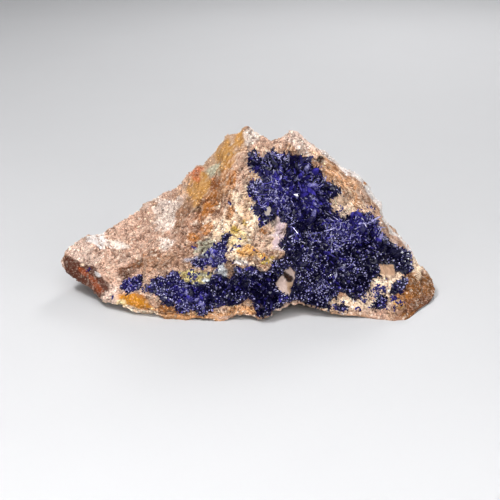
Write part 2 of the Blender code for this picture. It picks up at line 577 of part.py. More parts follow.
def main():
    for obj in list(bpy.data.objects):
        bpy.data.objects.remove(obj)
    rock_finish = make_material("matrix_rock", (0.56, 0.38, 0.27), 0.85)
    azurite_finish = make_material("azurite", (0.02, 0.02, 0.20), 0.25)

    unrolled = UnrolledSkin()
    flat = {}
    for name, (outline, holes) in AZURITE_PATCHES.items():
        spacing = AZURITE_SPACING if len(outline) > 60 else SPOT_SPACING
        rings = [
            subdivided([unrolled.place(*elevation_to_skin(*p)) for p in ring], spacing)
            for ring in [outline, *holes]
        ]
        flat[name] = (rings[0], rings[1:])
    points, triangles, owners = lay_triangles(unrolled, flat)

    u = np.interp([p[0] for p in points], unrolled.along, unrolled.u)
    girth = np.interp(u, unrolled.u, unrolled.girth)
    v = 0.5 + np.array([p[1] for p in points]) / np.maximum(girth, 1e-6)
    v = np.where((v < 1e-5) | (v > 1 - 1e-5), np.round(v), v)
    triangles = joined_under(u, v, triangles)
    skin, normals = broken_skin(u, v)
    on_rail = np.isclose(v, RIDGE_TURN, atol=1e-4) | np.isclose(v, TOE_TURN, atol=1e-4)
    triangles, owners = evened(skin, on_rail, triangles, owners)
    depths = {name: [depth_inside(p, patch) for p in points] for name, patch in flat.items()}
    deepest = np.max([depths[name] for name in flat], axis=0)
    bed = skin - normals * np.clip(deepest / BED_SLOPE, 0, 1)[:, None] * BED_DEPTH
    bed[:, 2] = np.maximum(bed[:, 2], 0.0)
    make_rock(bed, triangles, rock_finish)
    out = facing(bed, triangles)
    for name in flat:
        inside = [triangle for triangle, owner in zip(triangles, owners) if owner == name]
        make_patch(name, inside, bed, out, depths[name], azurite_finish)


main()
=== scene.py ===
"""Looks of an azurite specimen: a lump of iron-stained rock with a druse of azurite crystals on its front.

The rock's skin is a ring carried from the left tip to the right one. Rock, crusts, crystals and grains all
grow from that one skin, so each sits on what carries it. Tables are in millimetres in the rock's own frame:
X runs along the specimen, Y goes back from its azurite face and Z is up. What goes into a mesh is in metres.
"""

import functools
import math

import bpy
import numpy as np
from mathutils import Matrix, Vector


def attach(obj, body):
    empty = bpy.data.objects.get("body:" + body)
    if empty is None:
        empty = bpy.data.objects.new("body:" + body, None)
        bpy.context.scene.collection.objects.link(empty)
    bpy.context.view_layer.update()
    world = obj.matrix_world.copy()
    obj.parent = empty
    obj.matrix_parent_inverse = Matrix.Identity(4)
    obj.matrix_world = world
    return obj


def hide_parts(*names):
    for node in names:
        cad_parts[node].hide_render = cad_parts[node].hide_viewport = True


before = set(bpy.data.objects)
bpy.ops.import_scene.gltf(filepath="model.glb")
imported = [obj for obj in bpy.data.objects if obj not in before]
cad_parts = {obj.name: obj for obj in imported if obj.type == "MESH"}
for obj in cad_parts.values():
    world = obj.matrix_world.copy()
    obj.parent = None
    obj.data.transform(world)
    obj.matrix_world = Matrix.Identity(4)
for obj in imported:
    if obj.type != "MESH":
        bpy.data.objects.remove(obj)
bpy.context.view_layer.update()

bl_info = {
    "name": "Azurite specimen",
    "version": (1, 0, 0),
    "blender": (4, 5, 0),
    "location": "View3D > Sidebar > Specimen",
    "description": "Dresses a faceted azurite specimen with fine rock, crystal druses and grains",
    "category": "Add Mesh",
}

MM = 0.001  # one millimetre in metres
BODY = "root"  # the only body of the frame

# ---------------------------------------------------------------- the rock's rails, (x, y, z) from tip to tip

LEFT_TIP = (-60.4, 2.0, 10.6)
RIGHT_TIP = (60.6, -3.0, 2.4)

RIDGE = [
    LEFT_TIP, (-60.0, 2, 12.4), (-58.1, 3, 14.6), (-54.1, 4, 17.6), (-52.0, 4, 19.0), (-47.3, 4, 19.2),
    (-44.6, 5, 21.6), (-36.7, 6, 25.1), (-34.6, 6, 26.4), (-33.6, 7, 28.4), (-28.6, 7, 31.0),
    (-22.0, 7, 35.2), (-18.5, 7, 39.2), (-16.6, 7, 41.7), (-13.9, 7, 42.0), (-10.5, 7, 45.9),
    (-8.2, 6, 50.3), (-6.4, 6, 51.9), (-3.6, 6, 52.6), (-0.6, 5, 55.2), (0.6, 5, 55.4), (2.2, 6, 53.3),
    (5.4, 7, 51.0), (7.5, 8, 49.2), (11.0, 8, 51.0), (13.2, 8, 53.0), (16.3, 8, 53.0), (19.1, 9, 50.2),
    (22.7, 10, 46.9), (24.6, 10, 45.7), (28.3, 10, 42.2), (31.4, 10, 38.9), (34.6, 10, 38.2),
    (37.2, 10, 36.0), (41.8, 10, 30.4), (43.8, 10, 28.4), (44.3, 10, 25.0), (47.0, 9, 20.0),
    (52.6, 7, 13.8), (57.4, 3, 7.7), (59.4, 0, 4.6), RIGHT_TIP,
]
TOE = [
    LEFT_TIP, (-60.1, 1, 8.8), (-58.1, -1, 7.0), (-55.3, -4, 6.2), (-49.1, -9, 4.5), (-47.2, -12, 3.8),
    (-45.4, -14, 2.2), (-40.2, -17, 3.1), (-38.0, -18, 2.2), (-29.8, -21, 2.2), (-25.6, -22, 0.6),
    (-19.4, -23, 0.2), (-14.0, -24, 0.6), (-9.0, -24, 0.0), (-6.2, -24, 0.1), (-3.6, -24, 1.3),
    (0.1, -24, 1.2), (4.3, -25, 0.8), (6.2, -25, 1.4), (8.5, -23, 2.9), (13.3, -21, 4.1), (17.6, -21, 3.4),
    (22.3, -22, 2.2), (29.6, -22, 0.8), (36.7, -22, 0.4), (45.3, -23.5, 0.0), (48.8, -22.5, 0.0),
    (51.7, -19.5, 0.1), (54.7, -14.5, 0.3), (57.6, -10, 0.5), (59.6, -6, 1.1), RIGHT_TIP,
]
SHOULDER = [
    LEFT_TIP, (-59.0, 7, 12.2), (-54.0, 12, 13.8), (-46.0, 16, 14.0), (-36.0, 17, 20.2), (-27.0, 20, 26.0),
    (-19.0, 21, 31.0), (-9.0, 19, 41.0), (0.0, 18, 44.0), (8.0, 21, 40.5), (16.0, 22, 42.5),
    (25.0, 24, 34.5), (34.0, 24, 27.5), (43.0, 21, 19.5), (51.0, 16, 10.6), (57.5, 8, 4.4), RIGHT_TIP,
]
HEEL = [
    LEFT_TIP, (-59.4, 7, 9.2), (-55.0, 13, 6.6), (-47.0, 20, 4.2), (-36.0, 24, 2.2), (-24.0, 29, 3.2),
    (-12.0, 30, 1.2), (0.0, 28, 2.6), (12.0, 31, 1.4), (24.0, 30, 2.6), (35.0, 30, 0.8), (46.0, 24, 2.0),
    (54.0, 15, 1.0), (59.0, 5, 1.2), RIGHT_TIP,
]
SOLE = [
    LEFT_TIP, (-59.2, 3, 8.2), (-54.0, 4, 5.4), (-44.0, 3, 2.2), (-30.0, 4, -0.6), (-12.0, 4, -0.9),
    (8.0, 5, -0.7), (30.0, 6, -0.9), (46.0, 3, -0.8), (56.0, 0, -0.5), (60.0, -2, 1.2), RIGHT_TIP,
]

# The point of the rails' frame that the part's origin is at.
ORIGIN = np.array([0.10, 2.79, 0.0])

# Where each rail stands on the ring, as a share of one turn that starts under the rock.
SOLE_TURN, TOE_TURN, RIDGE_TURN, SHOULDER_TURN, HEEL_TURN = 0.0, 0.14, 0.52, 0.70, 0.86
EDGE_ROUNDING = 0.007

# Lumps and hollows of the front: (x, z, half width, half height, turn in degrees, how far it stands out).
FRONT_FORMS = {
    "fair swell of the whole face": (0.0, 20.0, 52.0, 20.0, 0, 3.4),
    "cream boss left of the azurite": (0.0, 27.0, 15.0, 11.0, 20, 3.6),
    "ledge under the cream boss": (3.0, 19.0, 11.0, 3.5, 0, 1.6),
    "hollow of the upper azurite": (19.0, 35.0, 17.0, 11.0, -28, -4.2),
    "hollow of the lower right azurite": (33.0, 17.0, 20.0, 8.0, -30, -3.0),
    "hollow of the lower left azurite": (-14.0, 10.0, 22.0, 4.5, -4, -2.2),
    "crest over the azurite": (31.0, 36.5, 24.0, 3.6, -47, 2.2),
    "island in the upper azurite": (30.5, 31.0, 4.5, 4.5, 0, 2.2),
    "knob at the right end": (50.0, 6.5, 7.5, 6.5, -20, 3.4),
    "lower lip": (-22.0, 3.0, 24.0, 2.2, 0, 1.4),
    "saddle of the left wing": (-46.0, 14.5, 6.0, 5.0, 30, -1.4),
    "spur below the peak": (-13.0, 38.0, 14.0, 5.0, 52, 2.6),
    "flank of the left wing": (-33.0, 17.0, 12.0, 7.0, 20, 2.0),
    "pale shelf of the left wing": (-27.5, 23.5, 5.0, 6.5, 0, 1.7),
    "brown trough beside the shelf": (-15.5, 26.0, 9.0, 4.0, 50, -2.4),
    "red facet at the left tip": (-51.0, 8.5, 7.0, 3.4, -30, -1.3),
    "dent above the vein": (-12.0, 19.5, 5.0, 2.6, 15, -1.2),
}

# Broken faces and roughness of the rock: (size of a feature, how far it stands out).
CHIPS, SMALL_CHIPS, SWELL = (11.0, 2.6), (4.6, 1.1), (17.0, 1.3)
CHIP_SHARPNESS = 14.0  # how sharply one broken face gives way to the next
TIP_CALM = 1.6  # how soon the roughness is at its full height away from the tips
RIDGE_WIDTH = 0.025  # how far to each side of its turn the ridge reaches
RIDGE_RISE, RIDGE_RISE_SLOPE = 0.3, 14.0  # the rise allowed on the ridge, and how fast it grows beside it
RAIL_CALM, RAIL_CALM_WIDTH = 0.7, 0.03  # how much calmer the rock is along its toe and its ridge
ROCK_SEED = 7
FLAT_FOOT = 0.35  # what lies lower than this is worn flat on the floor

# ---------------------------------------------------------------- the azurite's outlines

# Each is a run of (x, z) on the front elevation.
AZURITE_FIELD = [
    (0.9, 47.0), (2.3, 47.6), (3.3, 45.2), (4.8, 44.3), (5.8, 46.0), (8.8, 45.8), (10.0, 45.0),
    (13.8, 44.8), (19.6, 43.4), (20.7, 40.9), (23.4, 38.9), (24.6, 36.6), (27.3, 35.5), (30.3, 33.5),
    (27.7, 32.3), (26.0, 31.5), (26.1, 29.7), (27.0, 28.2), (29.4, 26.3), (31.4, 25.5), (33.3, 26.8),
    (36.4, 27.6), (40.7, 25.6), (41.1, 23.4), (44.9, 19.1), (47.8, 15.9), (50.3, 14.4), (52.2, 12.4),
    (52.6, 9.6), (50.3, 9.4), (49.2, 10.7), (47.2, 11.1), (47.2, 12.4), (41.9, 13.7), (41.9, 10.9),
    (38.8, 9.8), (38.1, 7.9), (35.4, 6.4), (32.8, 5.6), (31.1, 7.3), (29.0, 7.9), (27.9, 6.7), (25.4, 5.7),
    (24.8, 4.3), (25.9, 3.2), (23.4, 3.6), (20.3, 4.3), (17.5, 4.9), (15.2, 5.9), (13.6, 5.5), (11.9, 5.4),
    (10.2, 4.6), (8.5, 3.9), (6.6, 3.3), (5.6, 2.4), (4.2, 1.9), (2.6, 2.1), (2.3, 4.2), (1.7, 6.2),
    (0.0, 7.2), (-1.2, 6.4), (-4.0, 5.1), (-10.5, 4.7), (-10.9, 3.2), (-14.1, 1.9), (-15.5, 3.3),
    (-17.4, 3.7), (-20.1, 1.9), (-21.9, 2.9), (-22.1, 4.2), (-24.7, 4.3), (-28.4, 5.7), (-30.2, 6.8),
    (-29.8, 8.4), (-28.9, 9.8), (-26.8, 10.3), (-25.1, 9.9), (-24.7, 11.4), (-23.3, 12.6), (-21.2, 12.7),
    (-20.3, 10.1), (-16.0, 9.4), (-14.1, 9.6), (-11.8, 10.8), (-10.7, 12.7), (-9.6, 13.6), (-7.5, 13.1),
    (-5.8, 11.4), (-4.7, 13.1), (-3.7, 16.8), (-0.2, 17.5), (2.8, 17.0), (3.6, 15.0), (5.7, 15.1),
    (7.1, 16.1), (7.8, 17.9), (9.4, 18.5), (11.6, 18.4), (11.6, 20.2), (10.5, 22.8), (12.2, 23.3),
    (12.6, 25.3), (12.6, 27.5), (10.8, 28.6), (9.9, 30.3), (7.3, 29.0), (5.5, 28.2), (4.2, 29.0),
    (4.6, 30.6), (2.5, 31.7), (1.7, 33.1), (3.3, 33.8), (1.6, 36.0), (0.0, 38.0), (0.1, 39.0), (2.2, 39.2),
    (5.0, 38.5), (4.5, 40.1), (3.3, 41.6), (1.7, 42.4), (2.5, 43.4), (0.6, 45.1),
]
BARE_KITE = [
    (13.2, 16.0), (14.4, 14.4), (14.9, 12.6), (14.1, 10.8), (13.7, 8.2), (12.9, 6.9), (11.2, 7.8),
    (9.3, 9.6), (8.9, 11.4), (9.8, 12.6), (11.6, 14.9),
]
BARE_CHIP = [(5.9, 31.4), (6.3, 32.6), (7.4, 32.2), (7.8, 31.2), (7.8, 30.3), (6.8, 30.4)]
LEFT_PATCH = [
    (-41.0, 7.6), (-39.7, 8.4), (-38.8, 9.4), (-36.9, 10.0), (-34.8, 10.4), (-34.4, 11.3), (-32.9, 11.3),
    (-32.5, 10.1), (-33.6, 9.0), (-32.1, 8.1), (-33.5, 7.1), (-35.3, 6.3), (-36.4, 5.6), (-38.1, 6.1),
    (-38.7, 6.8),
]
VEIN = [
    (-7.6, 25.1), (-6.7, 25.9), (-5.3, 25.7), (-5.3, 24.3), (-6.2, 22.8), (-5.9, 20.6), (-6.1, 19.4),
    (-7.1, 18.1), (-8.7, 16.9), (-11.4, 15.8), (-13.4, 15.0), (-15.8, 15.1), (-18.1, 15.7), (-14.9, 17.9),
    (-11.9, 17.8), (-10.1, 18.6), (-9.6, 20.1), (-9.2, 21.6), (-7.7, 23.4),
]
RIGHT_BAR = [
    (45.2, 7.3), (46.3, 8.4), (48.2, 8.7), (50.1, 8.7), (51.0, 7.9), (50.0, 7.0), (48.3, 6.6), (46.7, 6.5),
]
RIGHT_PATCH = [
    (40.5, 5.8), (41.6, 6.9), (43.4, 6.5), (43.4, 5.1), (42.6, 4.4), (42.9, 3.2), (41.0, 2.6), (38.8, 3.1),
    (39.3, 4.2), (40.6, 4.4),
]
TOE_PATCH = [(27.5, 3.9), (29.6, 4.4), (31.3, 3.8), (30.9, 2.7), (29.0, 2.3), (27.6, 2.6)]

FIELD_SPACING, PATCH_SPACING = 0.62, 0.50

# node: (outline, bare spots, spacing of its crystals, how far the crust stands out of the rock)
PATCHES = {
    "azurite_field": (AZURITE_FIELD, [BARE_KITE, BARE_CHIP], FIELD_SPACING, 1.15),
    "azurite_left_patch": (LEFT_PATCH, [], PATCH_SPACING, 0.9),
    "azurite_vein": (VEIN, [], PATCH_SPACING, 0.6),
    "azurite_right_bar": (RIGHT_BAR, [], PATCH_SPACING, 0.8),
    "azurite_right_patch": (RIGHT_PATCH, [], PATCH_SPACING, 0.8),
    "azurite_toe_patch": (TOE_PATCH, [], PATCH_SPACING, 0.8),
}
BED_DEPTH, BED_SLOPE = 1.3, 3.0  # how far the rock is worn down under a crust, and over what width
CRUST_ROOT, CRUST_UNDERSIDE = 0.55, 1.1  # how deep in the rock a crust's edge starts, and its underside lies
TORN, TORN_VEIN = 0.45, 1.3  # how ragged the edge of a crust is, and that of the vein
PALE_SHARE, PALE_SHARE_VEIN = 0.35, 0.6  # how many of the bright crystals have a pale bloom, partly a painted glint
OFF_FRONT = -99.0  # the depth inside an outline of points that aren't on the front

# ---------------------------------------------------------------- colours, as linear light

PALETTE = {
    "pink tan": (0.50, 0.32, 0.24),
    "pale pink": (0.68, 0.53, 0.46),
    "tan": (0.43, 0.26, 0.165),
    "light brown": (0.33, 0.18, 0.11),
    # Partly the trough's own brown, partly painted shade.
    "trough brown and painted shade": (0.36, 0.20, 0.13),
    "brown": (0.22, 0.11, 0.06),
    "dark brown": (0.15, 0.055, 0.025),
    "rust": (0.20, 0.06, 0.01),
    "rust brown": (0.21, 0.08, 0.02),
    "orange brown": (0.36, 0.13, 0.02),
    "iron red": (0.065, 0.012, 0.003),
    "facet orange": (0.22, 0.04, 0.006),
    "red orange": (0.40, 0.10, 0.03),
    "orange": (0.50, 0.24, 0.09),
    "amber": (0.52, 0.20, 0.003),
    "ochre": (0.42, 0.21, 0.05),
    "olive": (0.50, 0.34, 0.05),
    "bright orange": (0.62, 0.30, 0.06),
    "spur grey": (0.38, 0.24, 0.15),
    "cream": (0.92, 0.71, 0.52),
    "yellow cream": (0.78, 0.58, 0.28),
    "chalk": (0.72, 0.62, 0.56),
    "white": (0.72, 0.69, 0.68),
    "kite grey": (0.50, 0.38, 0.34),
    "lilac grey": (0.62, 0.48, 0.52),
    "grey brown": (0.16, 0.12, 0.10),
    "moss": (0.55, 0.46, 0.16),
    "grey green": (0.38, 0.38, 0.28),
    "blue grey": (0.24, 0.27, 0.36),
    "ice blue": (0.56, 0.62, 0.68),
    # Painted pit shade: the black put inside the small pits.
    "pit shadow black": (0.012, 0.010, 0.014),
}

# Stains of the front: (x, z, half width, half height, turn in degrees, colour, strength).
STAINS = {
    "left wing": (-40.0, 17.0, 26.0, 12.0, 25, "pink tan", 0.8),
    "left end": (-56.0, 13.6, 8.0, 5.0, 0, "pale pink", 0.5),
    "white shell": (-48.7, 18.4, 5.0, 1.7, -28, "white", 0.9),
    "white shell's tail": (-42.0, 17.3, 3.8, 0.9, 10, "chalk", 0.85),
    "pale shelf": (-26.0, 27.6, 4.6, 3.6, 20, "chalk", 0.7),
    "small pale spot": (-25.5, 20.5, 2.1, 1.4, 0, "chalk", 0.7),
    "brown edge of the red facet": (-56.5, 9.8, 4.0, 1.7, -30, "rust brown", 0.85),
    "brown edge under the red facet": (-55.5, 6.6, 3.0, 1.2, -20, "dark brown", 0.7),
    "brown streak low on the wing": (-36.2, 13.3, 4.4, 1.1, 37, "dark brown", 0.9),
    "brown ground beside the streak": (-29.6, 15.6, 5.6, 1.9, 20, "orange brown", 0.45),
    "brown shade under the shelf": (-22.7, 17.0, 8.5, 2.2, 18, "light brown", 0.75),
    "rust spot under the shelf": (-28.6, 17.5, 1.6, 1.0, 0, "rust", 0.6),
    # Brown of the trough: partly its own brown stain, partly painted shade on the shaded facet.
    "brown trough": (-17.0, 26.5, 9.5, 4.4, 56, "trough brown and painted shade", 0.9),
    "slope beside the spur": (-4.6, 37.6, 8.5, 3.6, 56, "tan", 0.75),
    "grey of the spur": (-9.0, 42.0, 15.0, 3.8, 52, "spur grey", 0.9),
    "ochre at the peak": (-2.6, 51.4, 2.8, 1.3, 60, "ochre", 0.95),
    "ochre of the spur, high": (-6.8, 46.6, 5.0, 2.9, 50, "ochre", 0.95),
    "ochre of the spur, low": (-16.2, 35.0, 5.0, 2.5, 57, "ochre", 0.95),
    "brown foot of the spur": (-20.2, 29.6, 4.6, 1.8, 66, "brown", 0.85),
    "grey-green spot of the spur": (-10.9, 41.3, 2.2, 1.2, 30, "grey green", 0.85),
    "red spot of the edge": (-16.4, 39.6, 2.2, 1.5, 40, "red orange", 0.8),
    "pale tip of the peak": (1.8, 52.4, 3.2, 3.2, 0, "chalk", 0.8),
    "orange ground of the strokes": (-9.6, 34.8, 8.0, 3.4, 56, "orange brown", 0.5),
    "cream boss": (-0.7, 27.6, 10.5, 8.2, 20, "cream", 0.85),
    # Painted highlight: a lighter yellow-cream corner of the boss.
    "bright corner of the boss": (-4.7, 25.5, 3.6, 2.4, 15, "yellow cream", 0.8),
    "pink side of the boss": (5.6, 26.0, 2.6, 4.4, 0, "pink tan", 0.7),
    "orange fringe": (1.0, 36.4, 2.6, 7.6, -4, "orange", 0.45),
    "cream fringe": (-1.4, 42.0, 3.6, 6.0, -20, "pink tan", 0.6),
    "moss": (-14.7, 11.8, 5.4, 2.2, 4, "moss", 0.9),
    "grey-green mineral": (-12.4, 20.2, 3.4, 2.2, 20, "grey green", 0.9),
    "blue-grey mineral": (-13.6, 16.8, 4.4, 1.7, 14, "blue grey", 0.8),
    "ice-blue mineral": (-7.6, 15.6, 2.2, 2.6, 10, "ice blue", 0.85),
    "teal dots": (-15.3, 9.6, 1.6, 0.8, 0, "ice blue", 0.8),
    "orange lip": (-20.7, 1.4, 16.0, 2.6, 0, "orange", 0.85),
    "cream edge of the lip": (-34.0, 1.7, 8.0, 1.1, -4, "cream", 0.85),
    "amber lip": (-34.0, 4.4, 5.6, 1.5, -6, "amber", 1.0),
    "brown end of the amber lip": (-24.8, 2.9, 2.4, 1.0, -14, "orange brown", 0.8),
    "pink ground left of the patch": (-43.0, 4.6, 3.4, 2.6, 0, "pale pink", 0.6),
    "orange lip, right": (-2.3, 3.5, 4.8, 2.2, 0, "orange", 0.85),
    "lilac window": (11.2, 23.8, 2.1, 3.4, 8, "lilac grey", 0.95),
    "lilac window, upper": (10.4, 28.0, 1.7, 1.7, 0, "lilac grey", 0.8),
    "pale crest": (19.0, 48.4, 9.5, 3.0, -38, "pale pink", 0.8),
    "saddle between the peaks": (7.5, 48.4, 5.0, 2.4, 0, "pink tan", 0.6),
    "fibrous right rim": (30.0, 36.6, 8.5, 2.6, -46, "orange", 0.6),
    "island": (30.2, 30.0, 3.8, 2.9, 0, "cream", 0.6),
    "white bulge of the rim": (38.4, 35.2, 5.6, 1.9, -48, "white", 0.85),
    "cream speckled ground": (43.2, 8.0, 7.6, 3.4, -8, "cream", 0.75),
    "brown knob": (53.4, 3.8, 7.0, 4.8, -20, "rust brown", 1.0),
    "orange side of the knob": (50.4, 5.6, 3.4, 2.2, -30, "orange brown", 0.8),
    "dark foot of the knob": (54.0, 1.9, 6.0, 1.5, -16, "dark brown", 0.7),
    "pale top of the knob": (53.6, 9.6, 3.4, 1.6, -40, "cream", 0.7),
    "ochre spot of the knob": (47.6, 4.2, 1.6, 1.4, 0, "ochre", 0.9),
    "fringe under the field": (31.8, 4.4, 8.0, 1.9, -4, "cream", 0.7),
}

RED_FACET = [
    (-59.4, 12.4), (-57.6, 12.6), (-55.6, 11.2), (-53.4, 10.6), (-50.6, 10.4), (-47.6, 10.0), (-45.2, 9.2),
    (-43.4, 7.8), (-43.2, 6.2), (-45.2, 4.6), (-47.2, 2.6), (-51.0, 3.2), (-55.0, 4.4), (-59.0, 6.5),
]

# Ground with an edge of its own:
# (outline, colour, strength, how ragged its edge is in mm, whether it is bare and smooth).
BARE_SPOTS = {
    "red facet": (RED_FACET, "iron red", 0.97, 0.8, False),
    "kite": (BARE_KITE, "kite grey", 0.9, 0.0, True),
    "bare chip": (BARE_CHIP, "chalk", 0.9, 0.2, True),
    "tan square": ([(42.0, 13.8), (47.6, 12.3), (46.8, 10.0), (42.0, 11.1)], "tan", 0.95, 0.0, True),
}

# Stains that lie on smooth ground: how much less gritty and speckled it is there.
SMOOTH = {
    "white shell": 0.5, "white shell's tail": 0.4, "grey of the spur": 0.6, "ochre of the spur, high": 0.8,
    "ochre of the spur, low": 0.8, "ochre at the peak": 0.8, "amber lip": 0.7, "white bulge of the rim": 0.8,
    "lilac window": 0.8, "lilac window, upper": 0.7, "brown trough": 0.25,
}

# Painted over everything else: (x, z, half width, half height, turn, colour).
DOTS = {
    "bright part of the red facet": (-47.6, 6.0, 3.0, 1.2, -30, "facet orange"),
    "bright streak of the red facet": (-51.6, 8.2, 3.4, 0.8, -24, "facet orange"),
    "cream chip on the red facet": (-47.0, 8.7, 1.5, 0.6, -6, "white"),
    "cream spot of the red facet": (-52.8, 10.4, 0.6, 0.5, 0, "cream"),
    "yellow end of the amber lip": (-39.2, 3.3, 1.8, 0.9, 10, "yellow cream"),
    "orange heart of the amber lip": (-32.4, 5.2, 1.8, 0.5, -6, "orange brown"),
    "rust stroke, high": (-10.4, 38.5, 3.0, 1.4, 50, "rust"),
    "rust stroke, inner": (-4.7, 39.2, 3.0, 1.4, 72, "orange brown"),
    "orange stroke": (-11.4, 33.4, 3.8, 1.7, 54, "orange brown"),
    "orange stroke, low": (-12.6, 30.6, 3.0, 1.3, 60, "orange brown"),
    "brown stroke between": (-8.6, 32.0, 4.6, 1.6, 52, "light brown"),
    "rust stroke, right": (-5.6, 31.6, 2.6, 1.1, 46, "orange brown"),
    "rust stroke above the vein": (-12.9, 25.7, 2.4, 1.2, 48, "orange brown"),
    "rust spot by the trough": (-16.6, 22.4, 2.0, 1.2, 20, "orange brown"),
    "rust spot of the ground": (-16.0, 20.0, 1.0, 0.6, 0, "rust"),
    "yellow spot of the boss": (-1.6, 29.9, 1.3, 0.9, 0, "olive"),
    "yellow spot of the boss, low": (-4.4, 27.6, 1.5, 1.1, 0, "olive"),
    "orange heart of the boss": (0.6, 22.0, 4.4, 1.5, 8, "bright orange"),
    "second heart of the boss": (4.8, 20.2, 2.2, 0.9, -20, "bright orange"),
    "orange spot of the boss": (6.2, 26.6, 1.2, 1.5, 20, "orange brown"),
    "yellow edge of the boss": (6.0, 18.6, 2.4, 0.8, 16, "olive"),
    "white chips of the boss": (-2.2, 18.6, 2.6, 0.7, 0, "white"),
    "grey spot of the moss": (-16.6, 12.4, 1.5, 0.7, 10, "grey green"),
    "pale spot of the moss": (-12.4, 11.0, 1.6, 0.7, -10, "ice blue"),
    "second grey spot of the moss": (-13.4, 12.9, 1.3, 0.6, 0, "grey green"),
    "shadow of the window": (8.6, 28.6, 1.6, 1.2, 0, "grey brown"),
    "ochre spot of the knob": (47.8, 4.6, 1.4, 1.2, 0, "ochre"),
    "dark edge of the island": (31.4, 33.6, 3.4, 0.5, -20, "brown"),
    "crack under the crest": (22.6, 42.4, 2.6, 0.35, -44, "brown"),
    "shaded side of the kite": (13.3, 10.4, 3.0, 0.9, -80, "spur grey"),
    "chip on the white bulge": (38.2, 34.6, 0.8, 0.7, 0, "orange brown"),
}

# Small pits, painted black inside as painted shade: (x, z, radius, depth).
PITS = {
    "kite, highest": (11.6, 13.9, 0.5, 0.9),
    "kite, upper": (12.2, 13.2, 0.6, 1.1),
    "kite, lower": (13.1, 12.3, 0.85, 1.1),
    "crack under the crest": (23.5, 43.0, 0.9, 0.9),
}

# Loose specks of azurite: (x, z, half width, half height, how many crystals).
SPECKS = {
    "speckled ground at the right end": (43.2, 6.4, 6.4, 3.4, 150),
    "fringe under the field": (32.5, 4.0, 6.5, 1.6, 110),
    "edge of the ledge": (5.0, 19.2, 3.4, 1.2, 26),
    "boss": (-1.5, 21.4, 3.4, 1.4, 26),
    "speck on the boss": (-2.6, 24.9, 0.5, 0.5, 8),
    "speck above the vein": (-6.0, 33.7, 0.5, 0.5, 7),
    "round the vein": (-11.0, 18.0, 5.6, 4.0, 120),
    "moss": (-13.5, 12.0, 5.0, 2.0, 60),
    "between the left patches": (-31.2, 8.6, 1.8, 2.0, 40),
    "left of the left patch": (-42.6, 4.8, 0.5, 0.5, 8),
    "red facet": (-50.8, 9.0, 0.8, 0.6, 10),
    "island": (28.6, 28.6, 3.0, 2.4, 12),
    "fringe of the right rim": (38.0, 28.0, 4.0, 1.6, 30),
    "left edge of the field": (1.0, 36.0, 2.2, 6.0, 40),
}

# Lighter and darker parts of the azurite: (x, z, half width, half height, lightness).
TONES = {
    "light arm": (33.5, 22.2, 8.0, 3.6, 0.75),
    "light spot of the upper field": (11.5, 33.4, 3.6, 2.6, 0.45),
    "middle of the field": (20.5, 30.6, 5.0, 3.4, 0.6),
    "light top": (7.0, 45.4, 4.0, 1.6, 0.30),
    "upper field": (12.0, 37.0, 9.0, 7.0, 0.30),
    "dark heart": (17.5, 23.6, 5.6, 5.0, -0.25),
    "dark band below the arm": (34.0, 14.6, 9.0, 3.2, -0.22),
    "dark upper edge": (9.0, 41.5, 6.0, 2.4, -0.28),
    "dark right end": (44.0, 14.6, 5.0, 3.4, -0.20),
    "light lobe of the lower left": (-23.0, 11.2, 2.4, 2.0, 0.6),
    "light cells of the lower left": (-19.5, 5.6, 3.0, 2.4, 0.6),
    "light lower left": (-22.0, 7.6, 8.0, 4.0, 0.38),
    "lower middle": (-4.0, 9.0, 9.0, 4.0, 0.18),
    "left patch": (-36.6, 8.6, 5.0, 3.0, 0.5),
    "lower right": (21.0, 9.6, 4.6, 2.6, 0.15),
    "vein": (-9.6, 18.4, 5.5, 4.0, 0.9),
}

# Where the azurite has laths: (x, z, half width, half height, share).
LATHS = {
    "upper field": (14.0, 37.0, 14.0, 10.0, 0.9),
    "right arm": (33.0, 23.0, 9.0, 5.0, 0.9),
    "middle": (20.0, 25.0, 10.0, 6.0, 0.3),
}

# Where the rock has needles that point at the azurite: (x, z, half width, half height, share).
NEEDLES = {
    "left of the upper field": (0.5, 38.0, 5.0, 10.0, 0.9),
    "right of the boss": (7.5, 24.0, 4.0, 6.0, 0.5),
    "edge of the ledge": (3.0, 18.0, 6.0, 2.0, 0.4),
    "right rim": (34.0, 32.0, 12.0, 7.0, 0.9),
    "top of the field": (12.0, 47.0, 9.0, 2.0, 0.5),
    "lip": (-6.0, 4.0, 9.0, 2.6, 0.7),
    "fringe under the field": (33.0, 5.0, 9.0, 2.6, 0.6),
    "between the left patches": (-32.0, 8.5, 2.5, 2.5, 0.4),
}
NEEDLE_REACH = 5.0  # how far from the azurite the rock's needles still point at it

# Fibrous ground: (x, z, half width, half height, turn of the zone, turn of its fibres, strength).
FIBRES = {
    "spur": (-6.0, 43.0, 14.0, 4.5, 52, 54, 0.9),
    "trough": (-14.0, 29.0, 13.0, 6.0, 56, 56, 1.0),
    "slope beside the spur": (-5.0, 37.0, 9.0, 4.4, 56, 58, 1.0),
    "white shell": (-46.0, 17.6, 8.0, 2.6, -22, -24, 1.2),
    "wing": (-36.0, 17.0, 20.0, 8.0, 24, 32, 0.6),
    "right rim": (30.0, 38.0, 20.0, 4.0, -46, -44, 1.0),
    "lip": (-14.0, 3.0, 22.0, 2.4, 0, 8, 0.5),
}

